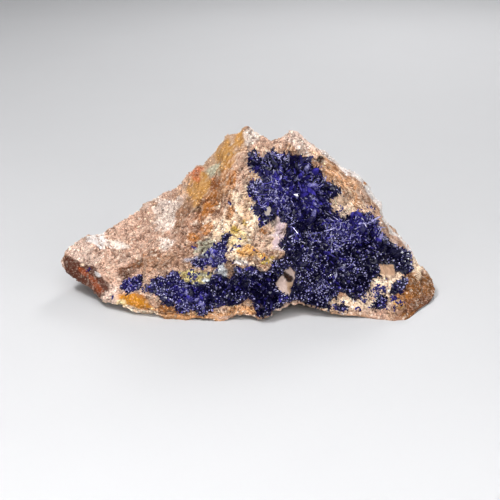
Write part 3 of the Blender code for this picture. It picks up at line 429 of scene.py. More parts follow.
# Coarse ground: (x, z, half width, half height, turn in degrees, how much rougher than the rest).
COARSE = {
    "cream boss": (-0.5, 25.0, 13.0, 10.0, 15, 1.1),
    "left of the upper field": (-1.5, 38.0, 4.5, 9.0, -12, 0.6),
    "ground at the right end": (44.0, 7.0, 9.0, 5.0, -10, 0.7),
    "island": (30.3, 30.0, 4.6, 4.2, 0, 1.0),
    "lip": (-8.0, 2.5, 30.0, 2.6, 0, 0.8),
    "moss and grey-green ground": (-12.5, 15.5, 9.0, 6.5, 10, 0.6),
    "red facet": (-51.5, 7.5, 8.0, 3.0, -24, 0.3),
    "trough": (-14.0, 29.0, 12.0, 6.0, 56, 0.4),
}

# The pale rim of the right slope, partly painted highlight: the x over which it fades in, and over which it
# fades out.
RIM_FADES_IN, RIM_FADES_OUT = (21.0, 27.0), (51.0, 56.0)

# ---------------------------------------------------------------- noise


def chance(cells, seed):
    """A fixed number from 0 to 1 for each whole-number cell (..., 3)."""
    mixed = cells[..., 0] * 73856093 ^ cells[..., 1] * 19349663 ^ cells[..., 2] * 83492791
    mixed = (mixed + seed * 974711) & 0xFFFFFFFF
    mixed = ((mixed ^ (mixed >> 15)) * 2246822519) & 0xFFFFFFFF
    mixed = ((mixed ^ (mixed >> 13)) * 3266489917) & 0xFFFFFFFF
    return ((mixed ^ (mixed >> 16)) & 0xFFFFFFFF) / 4294967296.0


def soft_noise(points, size, seed):
    """Smooth noise from -1 to 1 whose lumps are about size wide: chances on a cubic lattice, faded."""
    scaled = points / size
    cell = np.floor(scaled).astype(np.int64)
    share = scaled - cell
    share = share * share * (3 - 2 * share)
    total = 0.0
    for corner in np.ndindex(2, 2, 2):
        weight = np.prod(np.where(corner, share, 1 - share), axis=-1)
        total = total + weight * chance(cell + np.array(corner), seed)
    return 2 * total - 1


def chip_noise(points, size, seed):
    """Flat broken faces: each point takes the tilted plane of its nearest seed, about size from the next."""
    scaled = points / size
    cell = np.floor(scaled).astype(np.int64)
    total = np.zeros(points.shape[:-1])
    weights = np.zeros(points.shape[:-1])
    for step in np.ndindex(3, 3, 3):
        near = cell + np.array(step) - 1
        jitter = np.stack([chance(near, seed + k) for k in range(3)], axis=-1)
        tilt = np.stack([chance(near, seed + 3 + k) for k in range(3)], axis=-1) * 2 - 1
        away = scaled - near - jitter
        nearness = np.exp(-CHIP_SHARPNESS * np.linalg.norm(away, axis=-1))
        total += nearness * ((away * tilt).sum(-1) + 0.5 * (chance(near, seed + 6) * 2 - 1))
        weights += nearness
    return total / weights


def ramp(value, low, high):
    """0 below low and 1 above high, with a smooth step between."""
    share = np.clip((value - low) / (high - low), 0, 1)
    return share * share * (3 - 2 * share)


# ---------------------------------------------------------------- the rock's skin


def station(u):
    """The x of each share u of the way from tip to tip, closer together towards the tips."""
    return LEFT_TIP[0] + (RIGHT_TIP[0] - LEFT_TIP[0]) * (1 - np.cos(np.pi * u)) / 2


def rail_at(rail, x):
    """(y, z) of a rail at each x."""
    table = np.array(rail)
    return np.stack([np.interp(x, table[:, 0], table[:, k]) for k in (1, 2)], axis=-1)


def zone(x, z, place):
    """Distance from the middle of an ellipse (x, z, half width, half height, turn if any), 1 on its edge."""
    cx, cz, half_x, half_z, *turn = place
    angle = math.radians(turn[0] if turn else 0)
    c, s = math.cos(angle), math.sin(angle)
    along = ((x - cx) * c + (z - cz) * s) / half_x
    across = (-(x - cx) * s + (z - cz) * c) / half_z
    return np.sqrt(along**2 + across**2)


def front_relief(x, z):
    """How far the lumps and hollows of the front stand out at (x, z) of the front elevation."""
    return sum(height * np.exp(-(zone(x, z, place) ** 3)) for *place, height in FRONT_FORMS.values())


def largest_share(x, z, table, power):
    """The largest share that any zone of a table gives each point; a high power fades it out fast."""
    shares = [share * np.exp(-(zone(x, z, place) ** power)) for *place, share in table.values()]
    return np.max(shares, axis=0)


def sharp_skin(x, v):
    """The skin with straight stretches from rail to rail, and the front's lumps and hollows."""
    turns = [SOLE_TURN, TOE_TURN, RIDGE_TURN, SHOULDER_TURN, HEEL_TURN, 1.0]
    rails = [rail_at(rail, x) for rail in (SOLE, TOE, RIDGE, SHOULDER, HEEL, SOLE)]
    v = v % 1.0
    yz = np.zeros(np.shape(x) + (2,))
    for k in range(5):
        share = np.clip((v - turns[k]) / (turns[k + 1] - turns[k]), 0, 1)[..., None]
        here = ((v >= turns[k]) & (v < turns[k + 1]))[..., None]
        yz = np.where(here, rails[k] * (1 - share) + rails[k + 1] * share, yz)
    front = np.clip((v - TOE_TURN) / (RIDGE_TURN - TOE_TURN), 0, 1)
    fade = np.clip(4 * front * (1 - front) * 1.8, 0, 1)
    y = yz[..., 0] - fade * front_relief(x, yz[..., 1])
    return np.stack([x, y, yz[..., 1]], axis=-1)


def smooth_skin(u, v):
    """The skin with its rails rounded off: the mean of five points round the ring."""
    x = station(u)
    return sum(sharp_skin(x, v + k * EDGE_ROUNDING / 2) for k in range(-2, 3)) / 5


def skin_normal(u, v):
    """Outward normal of the smooth skin, from its slopes along and round the rock."""
    du, dv = 0.004, 0.006
    along = smooth_skin(np.minimum(u + du, 1), v) - smooth_skin(np.maximum(u - du, 0), v)
    round_ring = smooth_skin(u, v + dv) - smooth_skin(u, v - dv)
    normal = np.cross(along, round_ring)
    length = np.linalg.norm(normal, axis=-1, keepdims=True)
    tip = np.stack([np.where(u < 0.5, -1.0, 1.0), 0 * u, 0 * u], axis=-1)
    return np.where(length > 1e-6, normal / np.maximum(length, 1e-6), tip)


def broken_skin(u, v):
    """The rock's surface: the smooth skin and its broken faces, worn flat where it stands."""
    points, normals = smooth_skin(u, v), skin_normal(u, v)
    rough = (
        CHIPS[1] * chip_noise(points, CHIPS[0], ROCK_SEED)
        + SMALL_CHIPS[1] * chip_noise(points, SMALL_CHIPS[0], ROCK_SEED + 20)
        + SWELL[1] * soft_noise(points, SWELL[0], ROCK_SEED + 40)
    )
    calm = sum(np.exp(-(((v - turn) / RAIL_CALM_WIDTH) ** 2)) for turn in (TOE_TURN, RIDGE_TURN))
    out = rough * (1 - RAIL_CALM * calm) * np.clip(np.sin(np.pi * u) * TIP_CALM, 0, 1)
    from_ridge = np.maximum(np.abs(v - RIDGE_TURN) - RIDGE_WIDTH, 0)
    out = np.minimum(out, RIDGE_RISE + RIDGE_RISE_SLOPE * from_ridge)
    points = points + normals * out[..., None]
    points[..., 2] = np.where(points[..., 2] < FLAT_FOOT, 0.0, points[..., 2])
    return points, normals


def even_stations(count):
    """Shares u whose rings are evenly far apart: the way along the skin is summed up and divided evenly."""
    samples, samples_round = 800, 61
    u = np.linspace(0, 1, samples)
    rings = smooth_skin(*np.meshgrid(u, np.linspace(0, 1, samples_round), indexing="ij"))
    girth = np.linalg.norm(np.diff(rings, axis=1), axis=-1).sum(1)
    way = np.hypot(np.diff(station(u)), np.diff(girth) / (2 * math.pi))
    along = np.concatenate([[0.0], np.cumsum(way)])
    return np.interp(np.linspace(0, along[-1], count), along, u)


def depth_inside(x, z, outline):
    """How far inside an outline each point lies: the distance of the nearest edge, negative outside."""
    nearest = np.full(np.shape(x), np.inf)
    inside = np.zeros(np.shape(x), bool)
    for (ax, az), (bx, bz) in zip(outline, outline[1:] + outline[:1]):
        if az != bz:
            inside ^= ((az > z) != (bz > z)) & (x < (bx - ax) * (z - az) / (bz - az) + ax)
        share = ((x - ax) * (bx - ax) + (z - az) * (bz - az)) / ((bx - ax) ** 2 + (bz - az) ** 2)
        share = np.clip(share, 0, 1)
        nearest = np.minimum(nearest, np.hypot(x - ax - share * (bx - ax), z - az - share * (bz - az)))
    return np.where(inside, nearest, -nearest)


def patch_depth(x, z, node):
    """How far inside a crust's outline, and outside its bare spots, each point lies."""
    outline, bare_spots = PATCHES[node][:2]
    depth = depth_inside(x, z, outline)
    for spot in bare_spots:
        depth = np.minimum(depth, -depth_inside(x, z, spot))
    return depth


class Skin:
    """The rock's surface on a grid: one column for each station and one row for each turn round the rock.

    Each point has its place, its outward direction, its (x, z) on the front elevation, how far it lies inside
    each crust (depth), inside any of them (covered) and inside a bare spot (bare), and its stains.
    """

    def __init__(self, columns, front_rows, back_rows):
        first, last = TOE_TURN - 0.02, RIDGE_TURN + 0.03
        sole_rows = round(back_rows * first / (1 - last + first))
        turns = np.concatenate([
            np.linspace(0, first, sole_rows, endpoint=False),
            np.linspace(first, last, front_rows, endpoint=False),
            np.linspace(last, 1, back_rows - sole_rows, endpoint=False),
        ])
        self.front_rows = slice(sole_rows, sole_rows + front_rows)
        self.u, self.v = np.meshgrid(even_stations(columns), turns, indexing="ij")
        self.place, self.out = broken_skin(self.u, self.v)
        height = (self.v - TOE_TURN) / (RIDGE_TURN - TOE_TURN)
        self.x = station(self.u)
        toe, ridge = rail_at(TOE, self.x)[..., 1], rail_at(RIDGE, self.x)[..., 1]
        self.z = toe + height * (ridge - toe)
        self.below_ridge = ridge - self.z
        above_toe = ramp(self.v, TOE_TURN - 0.075, TOE_TURN - 0.035)
        self.front = above_toe * ramp(-self.v, -RIDGE_TURN - 0.05, -RIDGE_TURN)
        rows, self.depth = self.front_rows, {}
        for node in PATCHES:
            self.depth[node] = np.full(self.u.shape, OFF_FRONT)
            self.depth[node][:, rows] = patch_depth(self.x[:, rows], self.z[:, rows], node)
        self.covered = np.max(list(self.depth.values()), axis=0)
        self.bare = np.where(self.front > 0.5, self._spot_depth(True), OFF_FRONT)
        # The rim of the right slope, where the pale band (partly a painted highlight) and its painted shade
        # line go.
        fading_in = ramp(self.x, *RIM_FADES_IN)
        self.rim = self.front * fading_in * ramp(-self.x, -RIM_FADES_OUT[1], -RIM_FADES_OUT[0])
        self.glossy = self.front * ramp(self._spot_depth(False), -0.4, 0.3)
        self.stains = {name: self._stain(stain) for name, stain in STAINS.items()}

    def _spot_depth(self, are_bare):
        """How far each point lies inside the nearest of the spots that are bare, or of those that aren't."""
        outlines = [outline for outline, *_, is_bare in BARE_SPOTS.values() if is_bare == are_bare]
        return np.max([depth_inside(self.x, self.z, outline) for outline in outlines], axis=0)

    def _stain(self, stain):
        """How much of a stain each point has: an ellipse whose edge is frayed by noise stretched along it."""
        _, _, half_x, half_z, turn, _, strength = stain
        share, far = np.zeros(self.u.shape), zone(self.x, self.z, stain[:5])
        near = (far < 2.4) & (self.front > 0)
        c, s = math.cos(math.radians(turn)), math.sin(math.radians(turn))
        x, z, stretch = self.x[near], self.z[near], min(max(half_x / half_z, 1.0), 3.5)
        place = np.stack([(x * c + z * s) / stretch, -x * s + z * c, self.place[..., 1][near]], axis=-1)
        frayed = 0.40 * soft_noise(place, 2.6, 52) + 0.42 * soft_noise(place, 1.15, 53)
        share[near] = strength * self.front[near] * ramp(-far[near] - frayed, -1.25, -0.85)
        return share

    def smoothness(self):
        """How smooth the ground is, from the stains that lie on smooth ground and the bare spots."""
        smooth = np.maximum(ramp(self.bare, -0.35, 0.15), 0.8 * self.glossy)
        smooth = np.maximum(smooth, 0.6 * self.rim * ramp(3.6 - self.below_ridge, 0.0, 1.0))
        for name, share in SMOOTH.items():
            smooth = np.maximum(smooth, share * np.clip(self.stains[name] / STAINS[name][6], 0, 1))
        return smooth


_skins = {}


def skin_for(settings):
    """The skin at the density that the settings ask for, worked out once."""
    key = (settings.columns, settings.front_rows, settings.back_rows)
    if key not in _skins:
        _skins[key] = Skin(*key)
    return _skins[key]


# ---------------------------------------------------------------- meshes in the making


class Surface:
    """Points in mm, faces as a run of corner numbers with a count for each, and tones of the points."""

    def __init__(self, points, corners, counts, **tones):
        self.points = np.asarray(points, float).reshape(-1, 3)
        self.corners, self.counts, self.tones = corners, counts, tones

    @classmethod
    def of_quads(cls, points, quads, **tones):
        """A surface of quads, without the points that none of them uses."""
        used, renamed = np.unique(quads, return_inverse=True)
        kept = {name: np.asarray(tone)[used] for name, tone in tones.items()}
        return cls(points[used], renamed.ravel(), np.full(len(quads), 4), **kept)

    def joined(self, *others):
        """This surface and the others as one mesh."""
        parts = [self, *others]
        starts = np.cumsum([0] + [len(part.points) for part in parts[:-1]])
        return Surface(
            np.concatenate([part.points for part in parts]),
            np.concatenate([part.corners + start for part, start in zip(parts, starts)]),
            np.concatenate([part.counts for part in parts]),
            **{name: np.concatenate([part.tones[name] for part in parts]) for name in self.tones},
        )

    def make(self, name, material, slot):
        """The surface as a flat-shaded object above the floor, its tones as attributes of its points."""
        mesh = bpy.data.meshes.new(name)
        placed = (self.points - ORIGIN) * MM
        placed[:, 2] = np.maximum(placed[:, 2], 0.0)
        mesh.vertices.add(len(placed))
        mesh.vertices.foreach_set("co", placed.ravel())
        mesh.loops.add(len(self.corners))
        mesh.loops.foreach_set("vertex_index", self.corners.astype(np.int32))
        mesh.polygons.add(len(self.counts))
        starts = np.concatenate([[0], np.cumsum(self.counts)[:-1]])
        mesh.polygons.foreach_set("loop_start", starts.astype(np.int32))
        mesh.polygons.foreach_set("use_smooth", np.full(len(self.counts), False))
        for key, tone in self.tones.items():
            if tone.ndim == 2:
                layer = mesh.attributes.new(key, "FLOAT_COLOR", "POINT")
                layer.data.foreach_set("color", np.column_stack([tone, np.ones(len(tone))]).ravel())
            else:
                layer = mesh.attributes.new(key, "FLOAT", "POINT")
                layer.data.foreach_set("value", np.asarray(tone, float))
        mesh.update(calc_edges=True)
        mesh.materials.append(material)
        piece = bpy.data.objects.new(name, mesh)
        bpy.context.scene.collection.objects.link(piece)
        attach(piece, BODY)
        return piece


def closed_ring_grid(points, **tones):
    """A skin closed round and at both ends: quads from ring to ring, and a fan at each tip."""
    columns, rows = points.shape[:2]
    inner = points[1:-1].reshape(-1, 3)
    number = np.arange((columns - 2) * rows).reshape(columns - 2, rows)
    after = np.roll(number, -1, axis=1)
    quads = np.stack([number[:-1], number[1:], after[1:], after[:-1]], axis=-1).reshape(-1, 4)
    left, right = len(inner), len(inner) + 1
    first = np.stack([np.full(rows, left), number[0], after[0]], axis=-1)
    last = np.stack([np.full(rows, right), after[-1], number[-1]], axis=-1)
    kept = {}
    for name, tone in tones.items():
        ends = np.stack([tone[0].mean(0), tone[-1].mean(0)])
        kept[name] = np.concatenate([tone[1:-1].reshape((-1,) + tone.shape[2:]), ends])
    return Surface(
        np.concatenate([inner, [points[0, 0]], [points[-1, 0]]]),
        np.concatenate([quads.ravel(), first.ravel(), last.ravel()]),
        np.concatenate([np.full(len(quads), 4), np.full(2 * rows, 3)]),
        **kept,
    )


def without_corner_contacts(kept):
    """Kept cells of a grid, with one more wherever two of them would touch at a corner alone."""
    kept = kept.copy()
    for _ in range(3):
        kept[1:, :-1] |= kept[:-1, :-1] & kept[1:, 1:] & ~kept[1:, :-1] & ~kept[:-1, 1:]
        kept[:-1, :-1] |= kept[1:, :-1] & kept[:-1, 1:] & ~kept[:-1, :-1] & ~kept[1:, 1:]
    return kept


def closed_sheet(top, under, kept, **tones):
    """A sheet with a thickness: the kept cells on top, the same cells turned over below, and walls."""
    columns, rows = top.shape[:2]
    number = np.arange(columns * rows).reshape(columns, rows)
    corners = [number[:-1, :-1], number[1:, :-1], number[1:, 1:], number[:-1, 1:]]
    below = columns * rows
    quads = [np.stack([c[kept] for c in corners], -1), np.stack([c[kept] + below for c in corners[::-1]], -1)]
    padded = np.pad(kept, 1)
    beside = [padded[1:-1, :-2], padded[2:, 1:-1], padded[1:-1, 2:], padded[:-2, 1:-1]]
    for side in range(4):
        edge = kept & ~beside[side]
        a, b = corners[side][edge], corners[(side + 1) % 4][edge]
        quads.append(np.stack([b, a, a + below, b + below], -1))
    points = np.concatenate([top.reshape(-1, 3), under.reshape(-1, 3)])
    both = {name: np.concatenate([tone.reshape(-1), tone.reshape(-1)]) for name, tone in tones.items()}
    return Surface.of_quads(points, np.concatenate(quads), **both)


class Form:
    """A small faceted body that is repeated: corners, z from 0 at the foot to 1 at the tip, and faces."""

    def __init__(self, corners, faces):
        self.corners = np.array(corners, float)
        self.face_corners = np.concatenate([np.array(face) for face in faces])
        self.counts = np.array([len(face) for face in faces])

    def planted(self, foot, axis, side, size, rng, uneven=0.0, foot_shade=0.0, **tones):
        """Copies of the form: each stands at its foot, z along its axis and x along its side, times its size.

        Its tones are those given, less by the given share at the foot as painted shade, and whole at the tip.
        """
        copies, corners = len(foot), len(self.corners)
        third = np.cross(axis, side)
        shape = self.corners + rng.uniform(-uneven, uneven, (copies, corners, 3))
        shape = shape * size[:, None, :]
        basis = np.stack([side, third, axis], axis=1)
        points = foot[:, None, :] + np.einsum("nck,nkd->ncd", shape, basis)
        starts = np.arange(copies)[:, None] * corners
        # Painted shade at the foot: the tones fall by the given share from the tip down to the foot.
        kept = np.tile(1 - foot_shade * (1 - np.clip(self.corners[:, 2], 0, 1)), copies)
        spread = {name: np.repeat(tone, corners, axis=0) for name, tone in tones.items()}
        spread = {name: tone * (kept if tone.ndim == 1 else kept[:, None]) for name, tone in spread.items()}
        return Surface(points, (self.face_corners + starts).ravel(), np.tile(self.counts, copies), **spread)


def chisel_form():
    """A prism on a rhomb that ends in a short ridge."""
    rhomb = [(1, 0), (0, 1), (-1, 0), (0, -1)]
    foot, shoulder = [(x, y, -0.5) for x, y in rhomb], [(x, y, 0.55) for x, y in rhomb]
    ridge = [(0.45, 0, 1), (-0.45, 0, 1)]
    faces = [(3, 2, 1, 0)] + [(k, (k + 1) % 4, 4 + (k + 1) % 4, 4 + k) for k in range(4)]
    faces += [(4, 5, 8), (5, 9, 8), (5, 6, 9), (6, 7, 9), (7, 8, 9), (7, 4, 8)]
    return Form(foot + shoulder + ridge, faces)


def blade_form():
    """A plate with bevelled edges: 6 corners round its middle, and a smaller outline on each broad face."""
    outline = np.array([(-1, -0.5), (1, -0.5), (1, 0.62), (0.42, 1.0), (-0.5, 0.96), (-1, 0.55)])
    inner = (outline - (0, 0.25)) * 0.8 + (0, 0.25)
    corners = [(x, 0, z) for x, z in outline] + [(x, -1, z) for x, z in inner] + [(x, 1, z) for x, z in inner]
    faces = [tuple(range(6, 12)), tuple(range(17, 11, -1))]
    for k in range(6):
        after = (k + 1) % 6
        faces += [(k, after, 6 + after, 6 + k), (after, k, 12 + k, 12 + after)]
    return Form(corners, faces)


def chip_form():
    """A grain of rock: 6 corners and 8 faces, like two pyramids foot to foot."""
    corners = [(1, 0, 0.1), (0, 1, 0.1), (-1, 0, 0.1), (0, -1, 0.1), (0, 0, 1), (0, 0, -1)]
    faces = [(0, 1, 4), (1, 2, 4), (2, 3, 4), (3, 0, 4), (1, 0, 5), (2, 1, 5), (3, 2, 5), (0, 3, 5)]
    return Form(corners, faces)


# ---------------------------------------------------------------- scattering


def unit(vectors):
    """Each vector over its own length."""
    return vectors / np.maximum(np.linalg.norm(vectors, axis=-1, keepdims=True), 1e-9)


def side_of(axis, hint):
    """The hint made square to each axis."""
    return unit(hint - axis * (hint * axis).sum(-1, keepdims=True))


class Places:
    """Spots on a skin's grid, drawn with a likelihood for each cell and thinned to one in each small cube."""

    def __init__(self, skin, surface, likely, spacing, rng, count=None):
        step_u = surface[1:, :-1] - surface[:-1, :-1]
        step_v = surface[:-1, 1:] - surface[:-1, :-1]
        area = np.linalg.norm(np.cross(step_u, step_v), axis=-1)
        share = (area * likely[:-1, :-1]).ravel()
        count = count or int(6 * share.sum() / spacing**2) + 1
        cell = rng.choice(share.size, count, p=share / share.sum())
        i, j = np.unravel_index(cell, area.shape)
        s, t = rng.random((2, count))
        self._corners = [
            (i, j, (1 - s) * (1 - t)),
            (i + 1, j, s * (1 - t)),
            (i, j + 1, (1 - s) * t),
            (i + 1, j + 1, s * t),
        ]
        point = self.read(surface)
        cube = np.floor(point / spacing).astype(np.int64)
        _, first = np.unique(cube, axis=0, return_index=True)
        order = rng.permutation(first)
        self._corners = [(i[order], j[order], w[order]) for i, j, w in self._corners]
        self.point = point[order]
        self.out = unit(self.read(skin.out))
        self.x, self.z = self.read(skin.x), self.read(skin.z)
        self.count = len(order)

    def read(self, grid):
        """The value of a grid at each place, from the four corners of its cell."""
        return sum(grid[i, j] * (w[:, None] if grid.ndim == 3 else w) for i, j, w in self._corners)


def towards(skin, field):
    """The direction along the skin in which a field grows fastest, for each grid point."""
    step_u, step_v = np.gradient(skin.place, axis=0), np.gradient(skin.place, axis=1)
    rise_u, rise_v = np.gradient(field, axis=0), np.gradient(field, axis=1)
    long_u = np.maximum((step_u**2).sum(-1), 1e-6)
    long_v = np.maximum((step_v**2).sum(-1), 1e-6)
    return unit(step_u * (rise_u / long_u)[..., None] + step_v * (rise_v / long_v)[..., None])


# ---------------------------------------------------------------- the rock


@functools.lru_cache(maxsize=2)
def fibres(skin):
    """Long ridges of noise stretched along each fibrous zone, how fibrous it is, and the stretched place."""
    ridges, share, way = np.zeros(skin.u.shape), np.zeros(skin.u.shape), skin.place.copy()
    for number, (*place, run, strength) in enumerate(FIBRES.values()):
        here = strength * skin.front * np.exp(-(zone(skin.x, skin.z, place) ** 3))
        c, s = math.cos(math.radians(run)), math.sin(math.radians(run))
        along, across = skin.x * c + skin.z * s, -skin.x * s + skin.z * c
        stretched = np.stack([along / 5, across + 0.5 * np.sin(along / 3), skin.place[..., 1] / 2], axis=-1)
        lines = soft_noise(stretched, 1.1, 70 + number) + 0.7 * soft_noise(stretched, 0.55, 80 + number)
        ridges += here * lines
        way = np.where((here > share)[..., None], stretched, way)
        share = np.maximum(share, here)
    return ridges, share, way


@functools.lru_cache(maxsize=2)
def rock_relief(skin, grit):
    """How far the rock stands out of its broken skin: chips, cracks, fibres, pits and the crusts' beds."""
    lines, share, _ = fibres(skin)
    coarse = 1 + sum(
        more * np.exp(-(zone(skin.x, skin.z, place) ** 4)) * skin.front for *place, more in COARSE.values()
    )
    cracks = ramp(-np.abs(soft_noise(skin.place, 3.4, 34)), -0.11, 0.0)
    cracks = cracks + 0.7 * ramp(-np.abs(soft_noise(skin.place, 1.9, 35)), -0.13, 0.0)
    chips = coarse * (
        0.48 * chip_noise(skin.place, 2.8, 31)
        + 0.34 * chip_noise(skin.place, 1.2, 32)
        + 0.16 * soft_noise(skin.place, 0.6, 33)
        - 0.42 * cracks
    )
    relief = grit * (chips * (1 - 0.5 * share) + 0.5 * lines - 0.35) * (1 - 0.85 * skin.smoothness())
    for x, z, radius, depth in PITS.values():
        relief -= depth * skin.front * ramp(-zone(skin.x, skin.z, (x, z, radius, radius)), -1.1, -0.6)
    relief -= BED_DEPTH * np.clip(skin.covered / BED_SLOPE, 0, 1)
    return relief * ramp(skin.place[..., 2], 0.3, 2.5)


def rock_surface(skin, grit):
    """The rock's fine surface as a grid of points, with nothing below the floor."""
    points = skin.place + skin.out * rock_relief(skin, grit)[..., None]
    points[..., 2] = np.maximum(points[..., 2], 0.0)
    points[0], points[-1] = LEFT_TIP, RIGHT_TIP
    return points


def painted(colours, name, weight):
    """Colours with one of the palette laid over them."""
    return colours * (1 - weight[..., None]) + np.array(PALETTE[name]) * weight[..., None]


def rock_colours(skin, strength):
    """Rock colours: tans and brown all over, then stains, rim (part painted light and shade), bare spots,
    dots, painted pit shade.
    """
    place = skin.place
    wide, middle = soft_noise(place, 13.0, 51), soft_noise(place, 5.0, 52)
    small, tiny = soft_noise(place, 2.2, 53), soft_noise(place, 0.9, 54)
    colours = np.broadcast_to(np.array(PALETTE["tan"]), place.shape)
    colours = painted(colours, "pink tan", ramp(wide + 0.6 * small, -0.3, 0.6))
    bold = 1.7 - 0.7 * skin.front
    colours = painted(colours, "light brown", 0.8 * ramp(middle + 0.5 * tiny, 0.1, 0.8))
    rusty = ramp(soft_noise(place, 6.0, 55) + 0.6 * small, 0.45, 1.0)
    yellowed = ramp(soft_noise(place, 7.0, 56) + 0.5 * small, 0.45, 1.0)
    chalky = ramp(soft_noise(place, 4.0, 57) + 0.5 * tiny, 0.4, 0.95)
    colours = painted(colours, "rust", 0.45 * bold * rusty)
    colours = painted(colours, "ochre", 0.4 * bold * yellowed)
    colours = painted(colours, "chalk", 0.5 * bold * chalky)
    for name, share in skin.stains.items():
        colours = painted(colours, STAINS[name][5], strength * share)
    # Pale band along the ridge of the right slope: partly its own pale colour, partly a painted highlight on
    # the top edge.
    width = 1.6 + 0.8 * middle + 0.4 * small
    colours = painted(colours, "white", 0.8 * skin.rim * ramp(width - skin.below_ridge, -0.2, 0.3))
    # Painted shade: a brown line just below the pale band.
    rim_shade_line = ramp(0.5 - np.abs(width + 0.6 - skin.below_ridge), 0.0, 0.4)
    colours = painted(colours, "brown", 0.6 * skin.rim * rim_shade_line)
    lines = fibres(skin)[0]
    mottle = 0.22 * soft_noise(place, 3.0, 58) + 0.20 * soft_noise(place, 1.3, 59) + 0.45 * lines
    colours = colours * np.exp(mottle * (1 - skin.smoothness()))[..., None]
    for outline, name, weight, ragged, _ in BARE_SPOTS.values():
        depth = depth_inside(skin.x, skin.z, outline) + ragged * middle
        colours = painted(colours, name, weight * (skin.front > 0.5) * ramp(depth, -0.15, 0.2))
    for *dot, name in DOTS.values():
        here = ramp(-zone(skin.x, skin.z, dot) - 0.3 * small, -1.15, -0.75)
        colours = painted(colours, name, 0.92 * skin.front * here)
    # Painted shade: the pits are painted black inside.
    for x, z, radius, _ in PITS.values():
        deep = ramp(-zone(skin.x, skin.z, (x, z, radius, radius)), -1.45, -1.05)
        colours = painted(colours, "pit shadow black", 0.97 * skin.front * deep)
    return np.clip(colours, 0, 1)


# How often the relief is averaged with its neighbours, and how deep a hollow below that mean takes the full
# painted shade.
HOLLOWS = {3: 0.18, 16: 0.55}


def hollow_shade_of(relief_grid):
    """How hollow each grid point lies, from 0 to 1, for the painted shade in the hollows: the mean of its
    near and far neighbours less itself.
    """
    mean, hollow = relief_grid, 0.0
    for turn in range(1, max(HOLLOWS) + 1):
        padded = np.pad(mean, ((1, 1), (0, 0)), mode="edge")
        mean = (padded[2:] + padded[:-2] + np.roll(mean, 1, 1) + np.roll(mean, -1, 1)) / 4
        if turn in HOLLOWS:
            hollow = hollow + 0.6 * ramp(mean - relief_grid, 0.0, HOLLOWS[turn])
    return np.clip(hollow, 0, 1)


# ---------------------------------------------------------------- the azurite


# A crystal of size 1, and how far apart laths and sparkles stand.
CRYSTAL_WIDTH, CRYSTAL_DEPTH, CRYSTAL_LENGTH = 0.52, 0.34, 1.5
LATH_SPACING, SPARKLE_SPACING = 0.80, 0.95


def azurite_tone(x, z, points):
    """How light the azurite is at (x, z), from 0 to 1, with lumps of 5 mm and patches of 2 to 3 mm."""
    tone = 0.17 + 0.16 * soft_noise(points, 5.0, 91) + 0.5 * chip_noise(points, 2.6, 92)
    for *place, lightness in TONES.values():
        tone = tone + lightness * np.exp(-(zone(x, z, place) ** 2))
    return np.clip(tone, 0, 1)


def crust_surface(skin, rock, node, clumps):
    """The top of a crust: it climbs out of the rock at its edge to its full height, in facets and clumps."""
    depth = skin.depth[node]
    torn = TORN_VEIN if node == "azurite_vein" else TORN
    ragged = np.minimum(depth + torn * soft_noise(skin.place, 1.3, 95), -0.1 - skin.bare)
    height = PATCHES[node][3]
    rise = -CRUST_ROOT + (height + CRUST_ROOT) * ramp(ragged, -0.7, 0.6)
    facets = 0.9 * chip_noise(skin.place, 2.8, 96) + 0.5 * chip_noise(skin.place, 1.4, 97)
    heaps = 0.8 * soft_noise(skin.place, 6.0, 98)
    rise = rise + clumps * (facets + heaps * ramp(depth, 0.5, 3.0)) * ramp(ragged, 0.0, 0.9)
    return rock + skin.out * rise[..., None]


def crust(skin, rock, node, settings):
    """A crust as a closed sheet whose edge and underside are inside the rock, kept dark as painted shade
    between the crystals.
    """
    top = crust_surface(skin, rock, node, settings.clumps)
    under = rock - skin.out * CRUST_UNDERSIDE
    rows = skin.front_rows
    depth = skin.depth[node][:, rows]
    cells = (depth[:-1, :-1] + depth[1:, :-1] + depth[1:, 1:] + depth[:-1, 1:]) / 4 > -0.6
    kept = without_corner_contacts(cells)
    # Painted shade between the crystals: the crust keeps only 0.15 of the azurite's tone.
    tone = azurite_tone(skin.x, skin.z, skin.place)[:, rows] * 0.15
    return closed_sheet(top[:, rows], under[:, rows], kept, tone=tone, dust=0 * tone)


